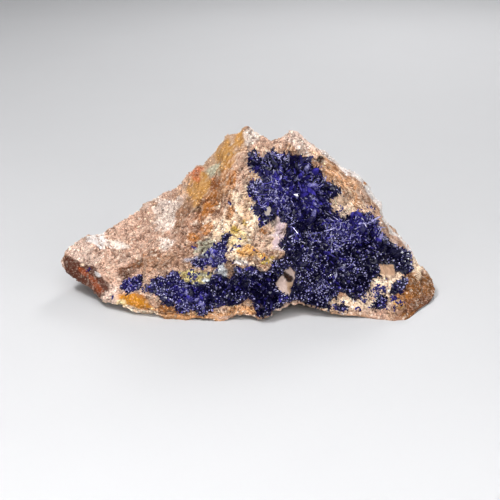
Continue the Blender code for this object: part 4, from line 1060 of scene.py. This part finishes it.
def druse(skin, rock, node, settings, rng):
    """The crystals of a crust: chisels all over it that lean outwards at its edge, laths and sparkles."""
    top = crust_surface(skin, rock, node, settings.clumps)
    depth = np.where(skin.bare > -0.35, -9.0, skin.depth[node])
    spacing = PATCHES[node][2] * settings.crystal_spacing / FIELD_SPACING
    places = Places(skin, top, np.where(depth > 0.1, 1.0, 0.5 * (depth > -0.6)), spacing, rng)
    inner = ramp(places.read(skin.depth[node]), -0.6, 2.0)
    inward = places.read(towards(skin, skin.depth[node]))
    lean = np.stack([soft_noise(places.point, 4.5, 100 + k) for k in range(3)], axis=-1)
    leaning = 0.9 * lean - (1 - inner[:, None]) * 0.9 * inward
    axis = unit(places.out + leaning + rng.normal(0, 0.38, (places.count, 3)))
    side = side_of(axis, rng.normal(0, 1, (places.count, 3)))
    coarse = np.max([np.exp(-(zone(places.x, places.z, place) ** 4)) for *place, _ in LATHS.values()], axis=0)
    light = azurite_tone(places.x, places.z, places.point)
    bold = np.clip(0.75 + 0.5 * soft_noise(places.point, 7.0, 104) * inner, 0.4, 1.0)
    bold *= 1 + 0.4 * coarse - 0.3 * light * (1 - coarse)
    grown = settings.crystal_size * bold * np.exp(rng.normal(0, 0.40, places.count)) * (0.45 + 0.55 * inner)
    slim = 1 - 0.3 * coarse
    wide, deep, long = CRYSTAL_WIDTH * grown * slim, CRYSTAL_DEPTH * grown * slim, CRYSTAL_LENGTH * grown
    size = np.stack([wide, deep, long], axis=-1)
    bright = rng.random(places.count) < 0.5 * settings.bloom_and_glint_share + 0.48 * light
    tone = np.clip(0.7 * light + np.where(bright, 0.45, -0.14) + rng.normal(0, 0.12, places.count), 0, 1)
    # Pale bloom on some bright crystals, partly a painted glint.
    pale = rng.random(places.count) < (PALE_SHARE_VEIN if node == "azurite_vein" else PALE_SHARE)
    dust = np.where(bright & pale, rng.uniform(0.4, 1.0, places.count), 0.0)
    # 0.8 of each crystal's tone is taken away at its foot as painted shade.
    grown_on = chisel_form().planted(places.point, axis, side, size, rng, 0.13, 0.8, tone=tone, dust=dust)
    return grown_on.joined(*laths(skin, top, node, settings, rng), sparkles(skin, top, node, settings, rng))


def laths(skin, top, node, settings, rng):
    """Long thin blades that lie across each other in the zones of the field where they grow."""
    likely = largest_share(skin.x, skin.z, LATHS, 3)
    likely *= (skin.depth[node] > 0.5) * (skin.bare < -1.0)
    likely *= ramp(soft_noise(skin.place, 4.0, 106), -0.3, 0.4)
    if likely.sum() < 1:
        return []
    places = Places(skin, top, likely, LATH_SPACING * settings.crystal_spacing / FIELD_SPACING, rng)
    axis = unit(0.45 * places.out + side_of(places.out, rng.normal(0, 1, (places.count, 3))))
    long = settings.lath_length * np.exp(rng.normal(0, 0.3, places.count))
    size = np.stack([0.03 + 0.05 * long, 0.04 + 0.01 * long, 0.75 * long], axis=-1)
    foot = places.point + places.out * rng.uniform(0.2, 0.9, (places.count, 1))
    side = np.cross(axis, side_of(axis, places.out + rng.normal(0, 0.7, (places.count, 3))))
    tone = rng.uniform(0.3, 1.0, places.count)
    # Pale bloom on some laths, partly painted glints along the blades.
    dust = np.where(rng.random(places.count) < 0.45, rng.uniform(0.6, 1.0, places.count), 0.05)
    return [blade_form().planted(foot, axis, side, size, rng, 0.05, tone=tone, dust=dust)]


def sparkles(skin, top, node, settings, rng):
    """Tiny pale grains on the crystals, partly painted glints."""
    light = azurite_tone(skin.x, skin.z, skin.place)
    sparkle_patches = 0.15 + ramp(soft_noise(skin.place, 3.0, 107), -0.1, 0.6)
    places = Places(skin, top, (skin.depth[node] > 0.2) * sparkle_patches * (0.25 + light), SPARKLE_SPACING, rng)
    axis = unit(places.out + rng.normal(0, 0.6, (places.count, 3)))
    side = side_of(axis, rng.normal(0, 1, (places.count, 3)))
    size = rng.uniform(0.08, 0.28, (places.count, 3)) * settings.crystal_size / 0.7
    foot = places.point + places.out * rng.uniform(0.3, 1.1, (places.count, 1))
    # Pale tone on every sparkle: partly pale grains, partly painted glints.
    tone, dust = np.ones(places.count), rng.uniform(0.6, 1.0, places.count)
    return chip_form().planted(foot, axis, side, size, rng, 0.2, tone=tone, dust=dust)


# ---------------------------------------------------------------- finishes


class Value:
    """A number in a shader: arithmetic on it adds the maths nodes."""

    def __init__(self, board, socket):
        self.board, self.socket = board, socket

    def _with(self, operation, *others):
        return self.board.node("ShaderNodeMath", {"operation": operation}, dict(enumerate(others)))

    def __add__(self, other):
        return self._with("ADD", self, other)

    def __sub__(self, other):
        return self._with("SUBTRACT", self, other)

    def __rsub__(self, other):
        return self._with("SUBTRACT", other, self)

    def __mul__(self, other):
        return self._with("MULTIPLY", self, other)

    def __gt__(self, other):
        return self._with("GREATER_THAN", self, other)

    __radd__ = __add__

    def step(self, low, high):
        """0 below low and 1 above high, with a smooth step between."""
        settings = {"interpolation_type": "SMOOTHSTEP"}
        sockets = {"Value": self, "From Min": low, "From Max": high}
        return self.board.node("ShaderNodeMapRange", settings, sockets)


class Board:
    """A material in the making, on the node tree that Blender gives a new one."""

    def __init__(self, name, **constants):
        self.material = bpy.data.materials.new(name)
        self.material.use_nodes = True
        self.nodes, self.links = self.material.node_tree.nodes, self.material.node_tree.links
        self.shader = self.nodes["Principled BSDF"]
        for socket, value in constants.items():
            self.shader.inputs[socket.replace("_", " ")].default_value = value

    def plug(self, socket, value):
        """A value set on a socket, or linked to it."""
        if isinstance(value, Value):
            self.links.new(value.socket, socket)
        elif hasattr(socket.default_value, "__len__") and len(socket.default_value) == 4:
            socket.default_value = (*value, 1.0) if len(value) == 3 else value
        else:
            socket.default_value = value

    def node(self, kind, settings, sockets, output=0):
        """One node, with its settings made first and then its sockets; gives back one of its outputs."""
        made = self.nodes.new(kind)
        for name, value in settings.items():
            setattr(made, name, value)
        for name, value in sockets.items():
            self.plug(made.inputs[name], value)
        return Value(self, made.outputs[output])

    def attribute(self, name, output):
        """What the mesh carries under a name, as its colour or its number."""
        return self.node("ShaderNodeAttribute", {"attribute_name": name}, {}, output)

    def where(self):
        """The place on the object in millimetres."""
        place = self.node("ShaderNodeTexCoord", {}, {}, "Object")
        return self.node("ShaderNodeVectorMath", {"operation": "SCALE"}, {0: place, "Scale": 1 / MM})

    def blend(self, share, first, second, how="MIX"):
        """Two colours mixed by a share from 0 to 1."""
        settings = {"data_type": "RGBA", "blend_type": how, "clamp_factor": True}
        return self.node("ShaderNodeMix", settings, {0: share, 6: first, 7: second}, 2)

    def lit(self, colour, factor):
        """A colour made brighter or darker by a factor."""
        return self.node("ShaderNodeVectorMath", {"operation": "SCALE"}, {0: colour, "Scale": factor})

    def noise(self, place, size, detail=2.0, roughness=0.6):
        """Noise from 0 to 1 whose lumps are about size in millimetres."""
        sockets = {"Vector": place, "Scale": 1 / size, "Detail": detail, "Roughness": roughness}
        return self.node("ShaderNodeTexNoise", {}, sockets)

    def grains(self, place, size):
        """A random number from 0 to 1 for each grain of about size."""
        colour = self.node("ShaderNodeTexVoronoi", {}, {"Vector": place, "Scale": 1 / size}, "Color")
        return self.node("ShaderNodeSeparateColor", {}, {"Color": colour})

    def bump(self, height, strength, distance):
        """Small relief on the normal: a height from 0 to 1 that is distance deep."""
        sockets = {"Height": height, "Strength": strength, "Distance": distance * MM}
        self.plug(self.shader.inputs["Normal"], self.node("ShaderNodeBump", {}, sockets))

    def feed(self, **sockets):
        """What changes over the surface, plugged into the shader."""
        for name, value in sockets.items():
            self.plug(self.shader.inputs[name.replace("_", " ")], value)
        return self.material


def rock_finish(settings):
    """Gritty stained rock: grains of half a millimetre and more, lighter and darker, with painted shade in
    the hollows.
    """
    board = Board("gritty rock", Specular_IOR_Level=0.2, IOR=1.55)
    place, way = board.where(), board.attribute("way", "Color")
    stain, fibrous = board.attribute("stain", "Color"), board.attribute("fibrous", "Fac")
    speckle = (1 - board.attribute("smooth", "Fac")) * settings.speckle
    coarse, fine = board.grains(place, 0.7), board.grains(place, 0.36)
    mottle, lines = board.noise(place, 1.5, 5.0, 0.7), board.noise(way, 0.7, 4.0, 0.65)
    shade = board.blend(1.0, stain, settings.shade, "MULTIPLY")
    colour = board.blend(mottle.step(0.50, 0.68) * 0.7 * speckle, stain, shade)
    colour = board.blend(mottle.step(0.46, 0.32) * 0.4 * speckle, colour, settings.pale_grain)
    colour = board.blend(lines.step(0.49, 0.62) * 0.9 * fibrous, colour, shade)
    colour = board.blend(lines.step(0.46, 0.34) * 0.5 * fibrous, colour, settings.pale_grain)
    colour = board.lit(colour, 1.0 + ((fine - 0.5) * 0.8 + (coarse - 0.5) * 0.3) * speckle)
    colour = board.blend((coarse > 0.93) * 0.6 * speckle, colour, settings.pale_grain)
    # Painted shade: the colour is pulled towards the hollow shade colour where the rock lies hollow.
    hollow = board.attribute("hollow", "Fac") * settings.hollow_shade
    colour = board.blend(hollow, colour, settings.hollow_shade_colour)
    board.bump(board.noise(place, 0.5, 5.0, 0.75) + fine * 0.2 + lines * fibrous * 0.9, 0.9, 0.32)
    rough = 0.36 + speckle * 0.24 + board.noise(place, 0.8) * 0.3
    return board.feed(Base_Color=colour, Roughness=rough)


def grain_finish(settings):
    """Loose grains and needles of rock, each in its own colour."""
    board = Board("rock grains", Specular_IOR_Level=0.3, IOR=1.55)
    place, stain = board.where(), board.attribute("stain", "Color")
    colour = board.blend(board.noise(place, 0.5) * 0.3, stain, settings.pale_grain)
    return board.feed(Base_Color=colour, Roughness=0.45 + board.noise(place, 0.6) * 0.3)


def azurite_finish(settings):
    """Azurite: navy where it is dark, royal blue where it is light, glossy, some of it with a pale bloom that
    is partly a painted glint.
    """
    board = Board("azurite", IOR=1.5, Specular_IOR_Level=0.45, Coat_Roughness=0.06)
    place = board.where()
    tone = board.attribute("tone", "Fac") * (0.7 + board.grains(place, 0.8) * 0.6)
    colour = board.blend(tone, settings.deep_blue, settings.royal_blue)
    # The pale bloom colour, partly a painted glint, laid over the crystals that carry it.
    bloom_and_glint = board.attribute("dust", "Fac") * board.noise(place, 0.5, 3.0).step(0.3, 0.7)
    colour = board.blend(bloom_and_glint * 0.85, colour, settings.bloom_and_glint)
    board.bump(board.noise(place, 0.3, 3.0), 0.3, 0.08)
    rough = 0.12 + board.noise(place, 0.9) * 0.22 + bloom_and_glint * 0.3
    return board.feed(Base_Color=colour, Roughness=rough, Coat_Weight=0.25 - bloom_and_glint * 0.2)


def floor_finish(settings):
    """A matt floor, very slightly uneven in tone."""
    board = Board("pale floor", Specular_IOR_Level=0.2)
    place = board.where()
    darker = tuple(0.97 * part for part in settings.floor_colour)
    return board.feed(
        Base_Color=board.blend(board.noise(place, 60.0), settings.floor_colour, darker),
        Roughness=0.75 + board.noise(place, 20.0) * 0.1,
    )


# ---------------------------------------------------------------- settings


def colour_setting(name, description, default):
    """A property that holds a colour."""
    return bpy.props.FloatVectorProperty(
        name=name, description=description, default=default, size=3, min=0.0, max=1.0, subtype="COLOR"
    )


class RockSettings(bpy.types.PropertyGroup):
    """What a user would change of the rock and its loose grains"""

    columns: bpy.props.IntProperty(
        name="Columns", description="Rings of the rock's grid from its left tip to its right one",
        default=300, min=60,
    )
    front_rows: bpy.props.IntProperty(
        name="Front rows", description="Rows of the grid between the foot of the front and its ridge",
        default=205, min=40,
    )
    back_rows: bpy.props.IntProperty(
        name="Back rows", description="Rows of the grid over the back and under the sole", default=100, min=30
    )
    grit: bpy.props.FloatProperty(
        name="Grit", description="Height of the small chips, 1 as found", default=1.0, min=0.0
    )
    stain: bpy.props.FloatProperty(
        name="Stain", description="Strength of the stains of the front",
        default=1.0, min=0.0, max=1.0, subtype="FACTOR",
    )
    speckle: bpy.props.FloatProperty(
        name="Speckle", description="Contrast from grain to grain", default=1.0, min=0.0, max=1.5
    )
    # How strong the painted shade in the small hollows is.
    hollow_shade: bpy.props.FloatProperty(
        name="Hollow shade", description="Darkness of the small hollows",
        default=0.75, min=0.0, max=1.0, subtype="FACTOR",
    )
    grain_spacing: bpy.props.FloatProperty(
        name="Grain spacing", description="Distance between loose grains in millimetres", default=0.8, min=0.3
    )
    grain_size: bpy.props.FloatProperty(
        name="Grain size", description="Size of a middling loose grain in millimetres", default=0.26, min=0.05
    )
    needle_length: bpy.props.FloatProperty(
        name="Needle length", description="Length of the needles beside the azurite in millimetres",
        default=1.4, min=0.2,
    )
    pale_grain: colour_setting("Pale grain", "Colour of the palest grains", (0.80, 0.68, 0.56))
    shade: colour_setting("Shade", "What the stains are multiplied by where darkest", (0.50, 0.36, 0.29))
    # Colour of the painted shade in the small hollows.
    hollow_shade_colour: colour_setting("Dark grain", "Colour of the darkest grains and hollows", (0.07, 0.026, 0.014))


class AzuriteSettings(bpy.types.PropertyGroup):
    """What a user would change of the azurite"""

    crystal_size: bpy.props.FloatProperty(
        name="Crystal size", description="Width of a middling crystal in millimetres", default=0.92, min=0.1
    )
    crystal_spacing: bpy.props.FloatProperty(
        name="Crystal spacing", description="Distance between crystals in millimetres", default=0.78, min=0.4
    )
    lath_length: bpy.props.FloatProperty(
        name="Lath length", description="Length of a middling lath in millimetres", default=2.2, min=0.2
    )
    clumps: bpy.props.FloatProperty(
        name="Clumps", description="Height of the crust's facets and clumps, 1 as found", default=1.0, min=0.0
    )
    # Share of crystals with the pale bloom, partly painted glints.
    bloom_and_glint_share: bpy.props.FloatProperty(
        name="Bloom", description="How many crystals are pale even where the azurite is dark",
        default=0.06, min=0.0, max=1.0, subtype="FACTOR",
    )
    deep_blue: colour_setting("Deep blue", "Azurite where it is darkest", (0.004, 0.003, 0.022))
    royal_blue: colour_setting("Royal blue", "Azurite where it is lightest", (0.058, 0.044, 0.38))
    # Colour of the pale bloom, partly a painted glint.
    bloom_and_glint: colour_setting("Bloom colour", "The pale bloom on some crystals", (0.80, 0.77, 0.91))


class StageSettings(bpy.types.PropertyGroup):
    """What a user would change of the floor, the lamps and the camera"""

    floor_size: bpy.props.FloatProperty(
        name="Floor size", description="Width of the square floor", default=6.0, min=0.5, unit="LENGTH"
    )
    floor_colour: colour_setting("Floor colour", "Colour of the floor", (0.54, 0.54, 0.55))
    brightness: bpy.props.FloatProperty(
        name="Brightness", description="Strength of all the lamps, 1 as set up", default=1.0, min=0.0
    )
    camera_height: bpy.props.FloatProperty(
        name="Camera height", description="Angle of the camera over the horizon",
        default=math.radians(20.0), subtype="ANGLE",
    )
    camera_distance: bpy.props.FloatProperty(
        name="Camera distance", description="Camera to specimen", default=0.42, min=0.1, unit="LENGTH"
    )


# ---------------------------------------------------------------- the stage

LOOKED_AT = (0.8, 0.0, 14.9)  # the point in the middle of the picture
PICTURE_WIDTH_PX, FOCAL_LENGTH_PX, SENSOR_WIDTH = 500, 1305, 36.0
SKY_COLOUR, SKY_STRENGTH = (0.85, 0.90, 1.0, 1.0), 0.08

# Small lamps whose glints play on the crystals: their places in metres, and the width and watts of each.
GLINT_LAMPS = {
    "far left": (-0.34, -0.34, 0.24),
    "left": (-0.20, -0.46, 0.22),
    "left and high": (-0.16, -0.38, 0.42),
    "middle and low": (0.00, -0.52, 0.24),
    "middle": (0.02, -0.46, 0.34),
    "middle and high": (0.00, -0.26, 0.52),
    "right and high": (0.18, -0.32, 0.46),
    "right": (0.20, -0.46, 0.22),
    "far right": (0.38, -0.30, 0.26),
    "right and low": (0.30, -0.44, 0.20),
}
GLINT_WIDTH, GLINT_WATTS = 0.09, 0.26

# name, place in metres, width in metres, watts
LAMPS = [
    ("key lamp", (-0.26, -0.24, 0.60), 0.12, 3.1),
    ("front box", (0.02, -0.62, 0.42), 0.42, 1.1),
    ("ceiling", (0.3, 0.4, 2.5), 3.0, 12.0),
    ("back lamp", (0.14, 0.55, 0.40), 0.2, 1.9),
]
LAMPS += [("glint lamp, " + side, place, GLINT_WIDTH, GLINT_WATTS) for side, place in GLINT_LAMPS.items()]

# ---------------------------------------------------------------- operators

GRAIN_SEED, DRUSE_SEED, SPECK_SEED = 3, 20, 41  # of the random draws


class SPECIMEN_OT_rock(bpy.types.Operator):
    """Make the lump of rock with its chips, fibres, pits and stains"""

    bl_idname = "specimen.rock"
    bl_label = "Rock"

    def execute(self, context):
        settings = context.scene.specimen_rock
        skin = skin_for(settings)
        relief = rock_relief(skin, settings.grit)
        _, fibrous, way = fibres(skin)
        piece = closed_ring_grid(
            rock_surface(skin, settings.grit),
            stain=rock_colours(skin, settings.stain),
            fibrous=fibrous,
            way=way,
            smooth=skin.smoothness(),
            # Painted shade in the rock's hollows, carried by the hollow attribute.
            hollow=hollow_shade_of(relief + BED_DEPTH * np.clip(skin.covered / BED_SLOPE, 0, 1)),
        ).make("rock", rock_finish(settings), "matrix_rock")
        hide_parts("matrix")
        return {"FINISHED"}


class SPECIMEN_OT_grains(bpy.types.Operator):
    """Strew the rock with loose grains, and set needles round the azurite that point at it"""

    bl_idname = "specimen.grains"
    bl_label = "Grains and needles"

    def execute(self, context):
        settings = context.scene.specimen_rock
        skin, finish = skin_for(settings), grain_finish(settings)
        rock = rock_surface(skin, settings.grit)
        colours = rock_colours(skin, settings.stain)
        inward = towards(skin, skin.covered)
        bare = (skin.covered < -0.3) * (rock[..., 2] > 0.8) * (1 - skin.smoothness())
        fringe = largest_share(skin.x, skin.z, NEEDLES, 4)
        front = (skin.v > 0.08) & (skin.v < RIDGE_TURN + 0.04)
        for name, side in (("front_grains", front), ("back_grains", ~front)):
            rng = np.random.default_rng(GRAIN_SEED)
            places = Places(skin, rock, bare * side, settings.grain_spacing, rng)
            near = ramp(places.read(skin.covered), -NEEDLE_REACH, -0.6) * places.read(fringe)
            pulled = places.read(inward)
            needle = rng.random(places.count) < near
            axis = unit(places.out + rng.normal(0, 0.6, (places.count, 3)))
            lying = unit(pulled + 0.35 * places.out + rng.normal(0, 0.32, (places.count, 3)))
            axis = np.where(needle[:, None], lying, axis)
            stone = settings.grain_size * np.exp(rng.normal(0, 0.4, places.count))
            long = settings.needle_length * rng.uniform(0.5, 1.5, places.count)
            width = np.where(needle, rng.uniform(0.10, 0.22, places.count), stone)
            size = np.stack([width, width * 0.8, np.where(needle, long, stone * 0.8)], axis=-1)
            bright = np.exp(rng.normal(0.05, 0.38, (places.count, 1)))
            own = np.clip(places.read(colours) * bright, 0, 0.9)
            fair = (needle & (rng.random(places.count) < 0.45))[:, None]
            own = np.where(fair, 0.4 * own + 0.6 * np.array(PALETTE["cream"]), own)
            across = side_of(axis, rng.normal(0, 1, (places.count, 3)))
            grains = chip_form().planted(places.point, axis, across, size, rng, 0.22, stain=own)
            piece = grains.make(name, finish, "matrix_rock")
            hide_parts("matrix")
        return {"FINISHED"}


class SPECIMEN_OT_azurite(bpy.types.Operator):
    """Grow the crusts of azurite, each with its own druse of crystals"""

    bl_idname = "specimen.azurite"
    bl_label = "Azurite"

    def execute(self, context):
        rock_settings, settings = context.scene.specimen_rock, context.scene.specimen_azurite
        skin, finish = skin_for(rock_settings), azurite_finish(settings)
        rock = rock_surface(skin, rock_settings.grit)
        for number, node in enumerate(PATCHES):
            rng = np.random.default_rng(DRUSE_SEED + number)
            body = crust(skin, rock, node, settings).make(node + "_crust", finish, "azurite")
            crystals = druse(skin, rock, node, settings, rng).make(node + "_druse", finish, "azurite")
            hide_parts(node)
            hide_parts(node)
        return {"FINISHED"}


class SPECIMEN_OT_specks(bpy.types.Operator):
    """Strew small loose crystals of azurite on the bare rock beside the crusts"""

    bl_idname = "specimen.specks"
    bl_label = "Azurite specks"

    def execute(self, context):
        rock_settings, settings = context.scene.specimen_rock, context.scene.specimen_azurite
        skin, rng = skin_for(rock_settings), np.random.default_rng(SPECK_SEED)
        rock = rock_surface(skin, rock_settings.grit)
        likely = np.zeros(skin.u.shape)
        for *place, count in SPECKS.values():
            far = zone(skin.x, skin.z, place)
            likely += count / (place[2] * place[3]) * (far < 1.2) * np.exp(-(far**2))
        likely *= skin.front * (skin.covered < -0.2) * (skin.bare < -0.4) * (rock[..., 2] > 0.8)
        likely *= ramp(soft_noise(skin.place, 1.7, 43), 0.0, 0.5)
        places = Places(skin, rock, likely, 0.35, rng, sum(count for *_, count in SPECKS.values()))
        axis = unit(places.out + rng.normal(0, 0.5, (places.count, 3)))
        grown = 0.4 * settings.crystal_size * np.exp(rng.normal(0, 0.3, places.count))
        size = np.stack([0.8 * grown, 0.6 * grown, 1.1 * grown], axis=-1)
        across = side_of(axis, rng.normal(0, 1, (places.count, 3)))
        tone = rng.uniform(0.0, 0.55, places.count)
        # Pale bloom on some specks, partly painted glints.
        dust = 0.6 * (rng.random(places.count) < settings.bloom_and_glint_share)
        crystals = chisel_form().planted(places.point, axis, across, size, rng, 0.15, tone=tone, dust=dust)
        piece = crystals.make("azurite_specks", azurite_finish(settings), "azurite")
        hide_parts("azurite_field")
        return {"FINISHED"}


class SPECIMEN_OT_stage(bpy.types.Operator):
    """Set the floor, the lamps and the camera"""

    bl_idname = "specimen.stage"
    bl_label = "Stage"

    def execute(self, context):
        settings, scene = context.scene.specimen_stage, context.scene
        half = settings.floor_size / 2
        mesh = bpy.data.meshes.new("floor")
        corners = [(-half, -half, 0), (half, -half, 0), (half, half, 0), (-half, half, 0)]
        mesh.from_pydata(corners, [], [(0, 1, 2, 3)])
        mesh.materials.append(floor_finish(settings))
        floor = bpy.data.objects.new("floor", mesh)
        scene.collection.objects.link(floor)

        world = bpy.data.worlds.new("studio")
        world.use_nodes = True
        background = world.node_tree.nodes["Background"]
        background.inputs["Color"].default_value = SKY_COLOUR
        background.inputs["Strength"].default_value = SKY_STRENGTH * settings.brightness
        scene.world = world
        scene.view_settings.view_transform = "Standard"

        target = Vector((np.array(LOOKED_AT) - ORIGIN) * MM)
        for name, place, width, watts in LAMPS:
            lamp = bpy.data.lights.new(name, "AREA")
            lamp.size, lamp.energy = width, watts * settings.brightness
            lit = bpy.data.objects.new(name, lamp)
            lit.location = place
            lit.rotation_euler = (target - Vector(place)).to_track_quat("-Z", "Y").to_euler()
            scene.collection.objects.link(lit)

        lens = bpy.data.cameras.new("camera")
        lens.sensor_width, lens.clip_start = SENSOR_WIDTH, 0.01
        lens.lens = FOCAL_LENGTH_PX / PICTURE_WIDTH_PX * SENSOR_WIDTH
        camera = bpy.data.objects.new("camera", lens)
        lift, away = settings.camera_height, settings.camera_distance
        camera.location = target + Vector((0, -math.cos(lift), math.sin(lift))) * away
        camera.rotation_euler = (math.radians(90) - lift, 0, 0)
        scene.collection.objects.link(camera)
        scene.camera = camera
        return {"FINISHED"}


PIECES = (SPECIMEN_OT_rock, SPECIMEN_OT_grains, SPECIMEN_OT_azurite, SPECIMEN_OT_specks, SPECIMEN_OT_stage)


class SPECIMEN_PT_panel(bpy.types.Panel):
    """The specimen's pieces and their settings"""

    bl_label = "Specimen"
    bl_idname = "SPECIMEN_PT_panel"
    bl_space_type = "VIEW_3D"
    bl_region_type = "UI"
    bl_category = "Specimen"

    def draw(self, context):
        scene = context.scene
        for operator in PIECES:
            self.layout.operator(operator.bl_idname)
        for group in (scene.specimen_rock, scene.specimen_azurite, scene.specimen_stage):
            box = self.layout.box()
            for name in group.__annotations__:
                box.prop(group, name)


CLASSES = (RockSettings, AzuriteSettings, StageSettings, *PIECES, SPECIMEN_PT_panel)


def register():
    """Add the classes to Blender, and their settings to every scene."""
    for kind in CLASSES:
        bpy.utils.register_class(kind)
    bpy.types.Scene.specimen_rock = bpy.props.PointerProperty(type=RockSettings)
    bpy.types.Scene.specimen_azurite = bpy.props.PointerProperty(type=AzuriteSettings)
    bpy.types.Scene.specimen_stage = bpy.props.PointerProperty(type=StageSettings)


def unregister():
    """Take the settings and the classes out of Blender again."""
    del bpy.types.Scene.specimen_rock, bpy.types.Scene.specimen_azurite, bpy.types.Scene.specimen_stage
    for kind in reversed(CLASSES):
        bpy.utils.unregister_class(kind)


def main():
    """Make every piece and the stage."""
    register()
    bpy.ops.specimen.rock()
    bpy.ops.specimen.grains()
    bpy.ops.specimen.azurite()
    bpy.ops.specimen.specks()
    bpy.ops.specimen.stage()


if __name__ == "__main__":
    main()
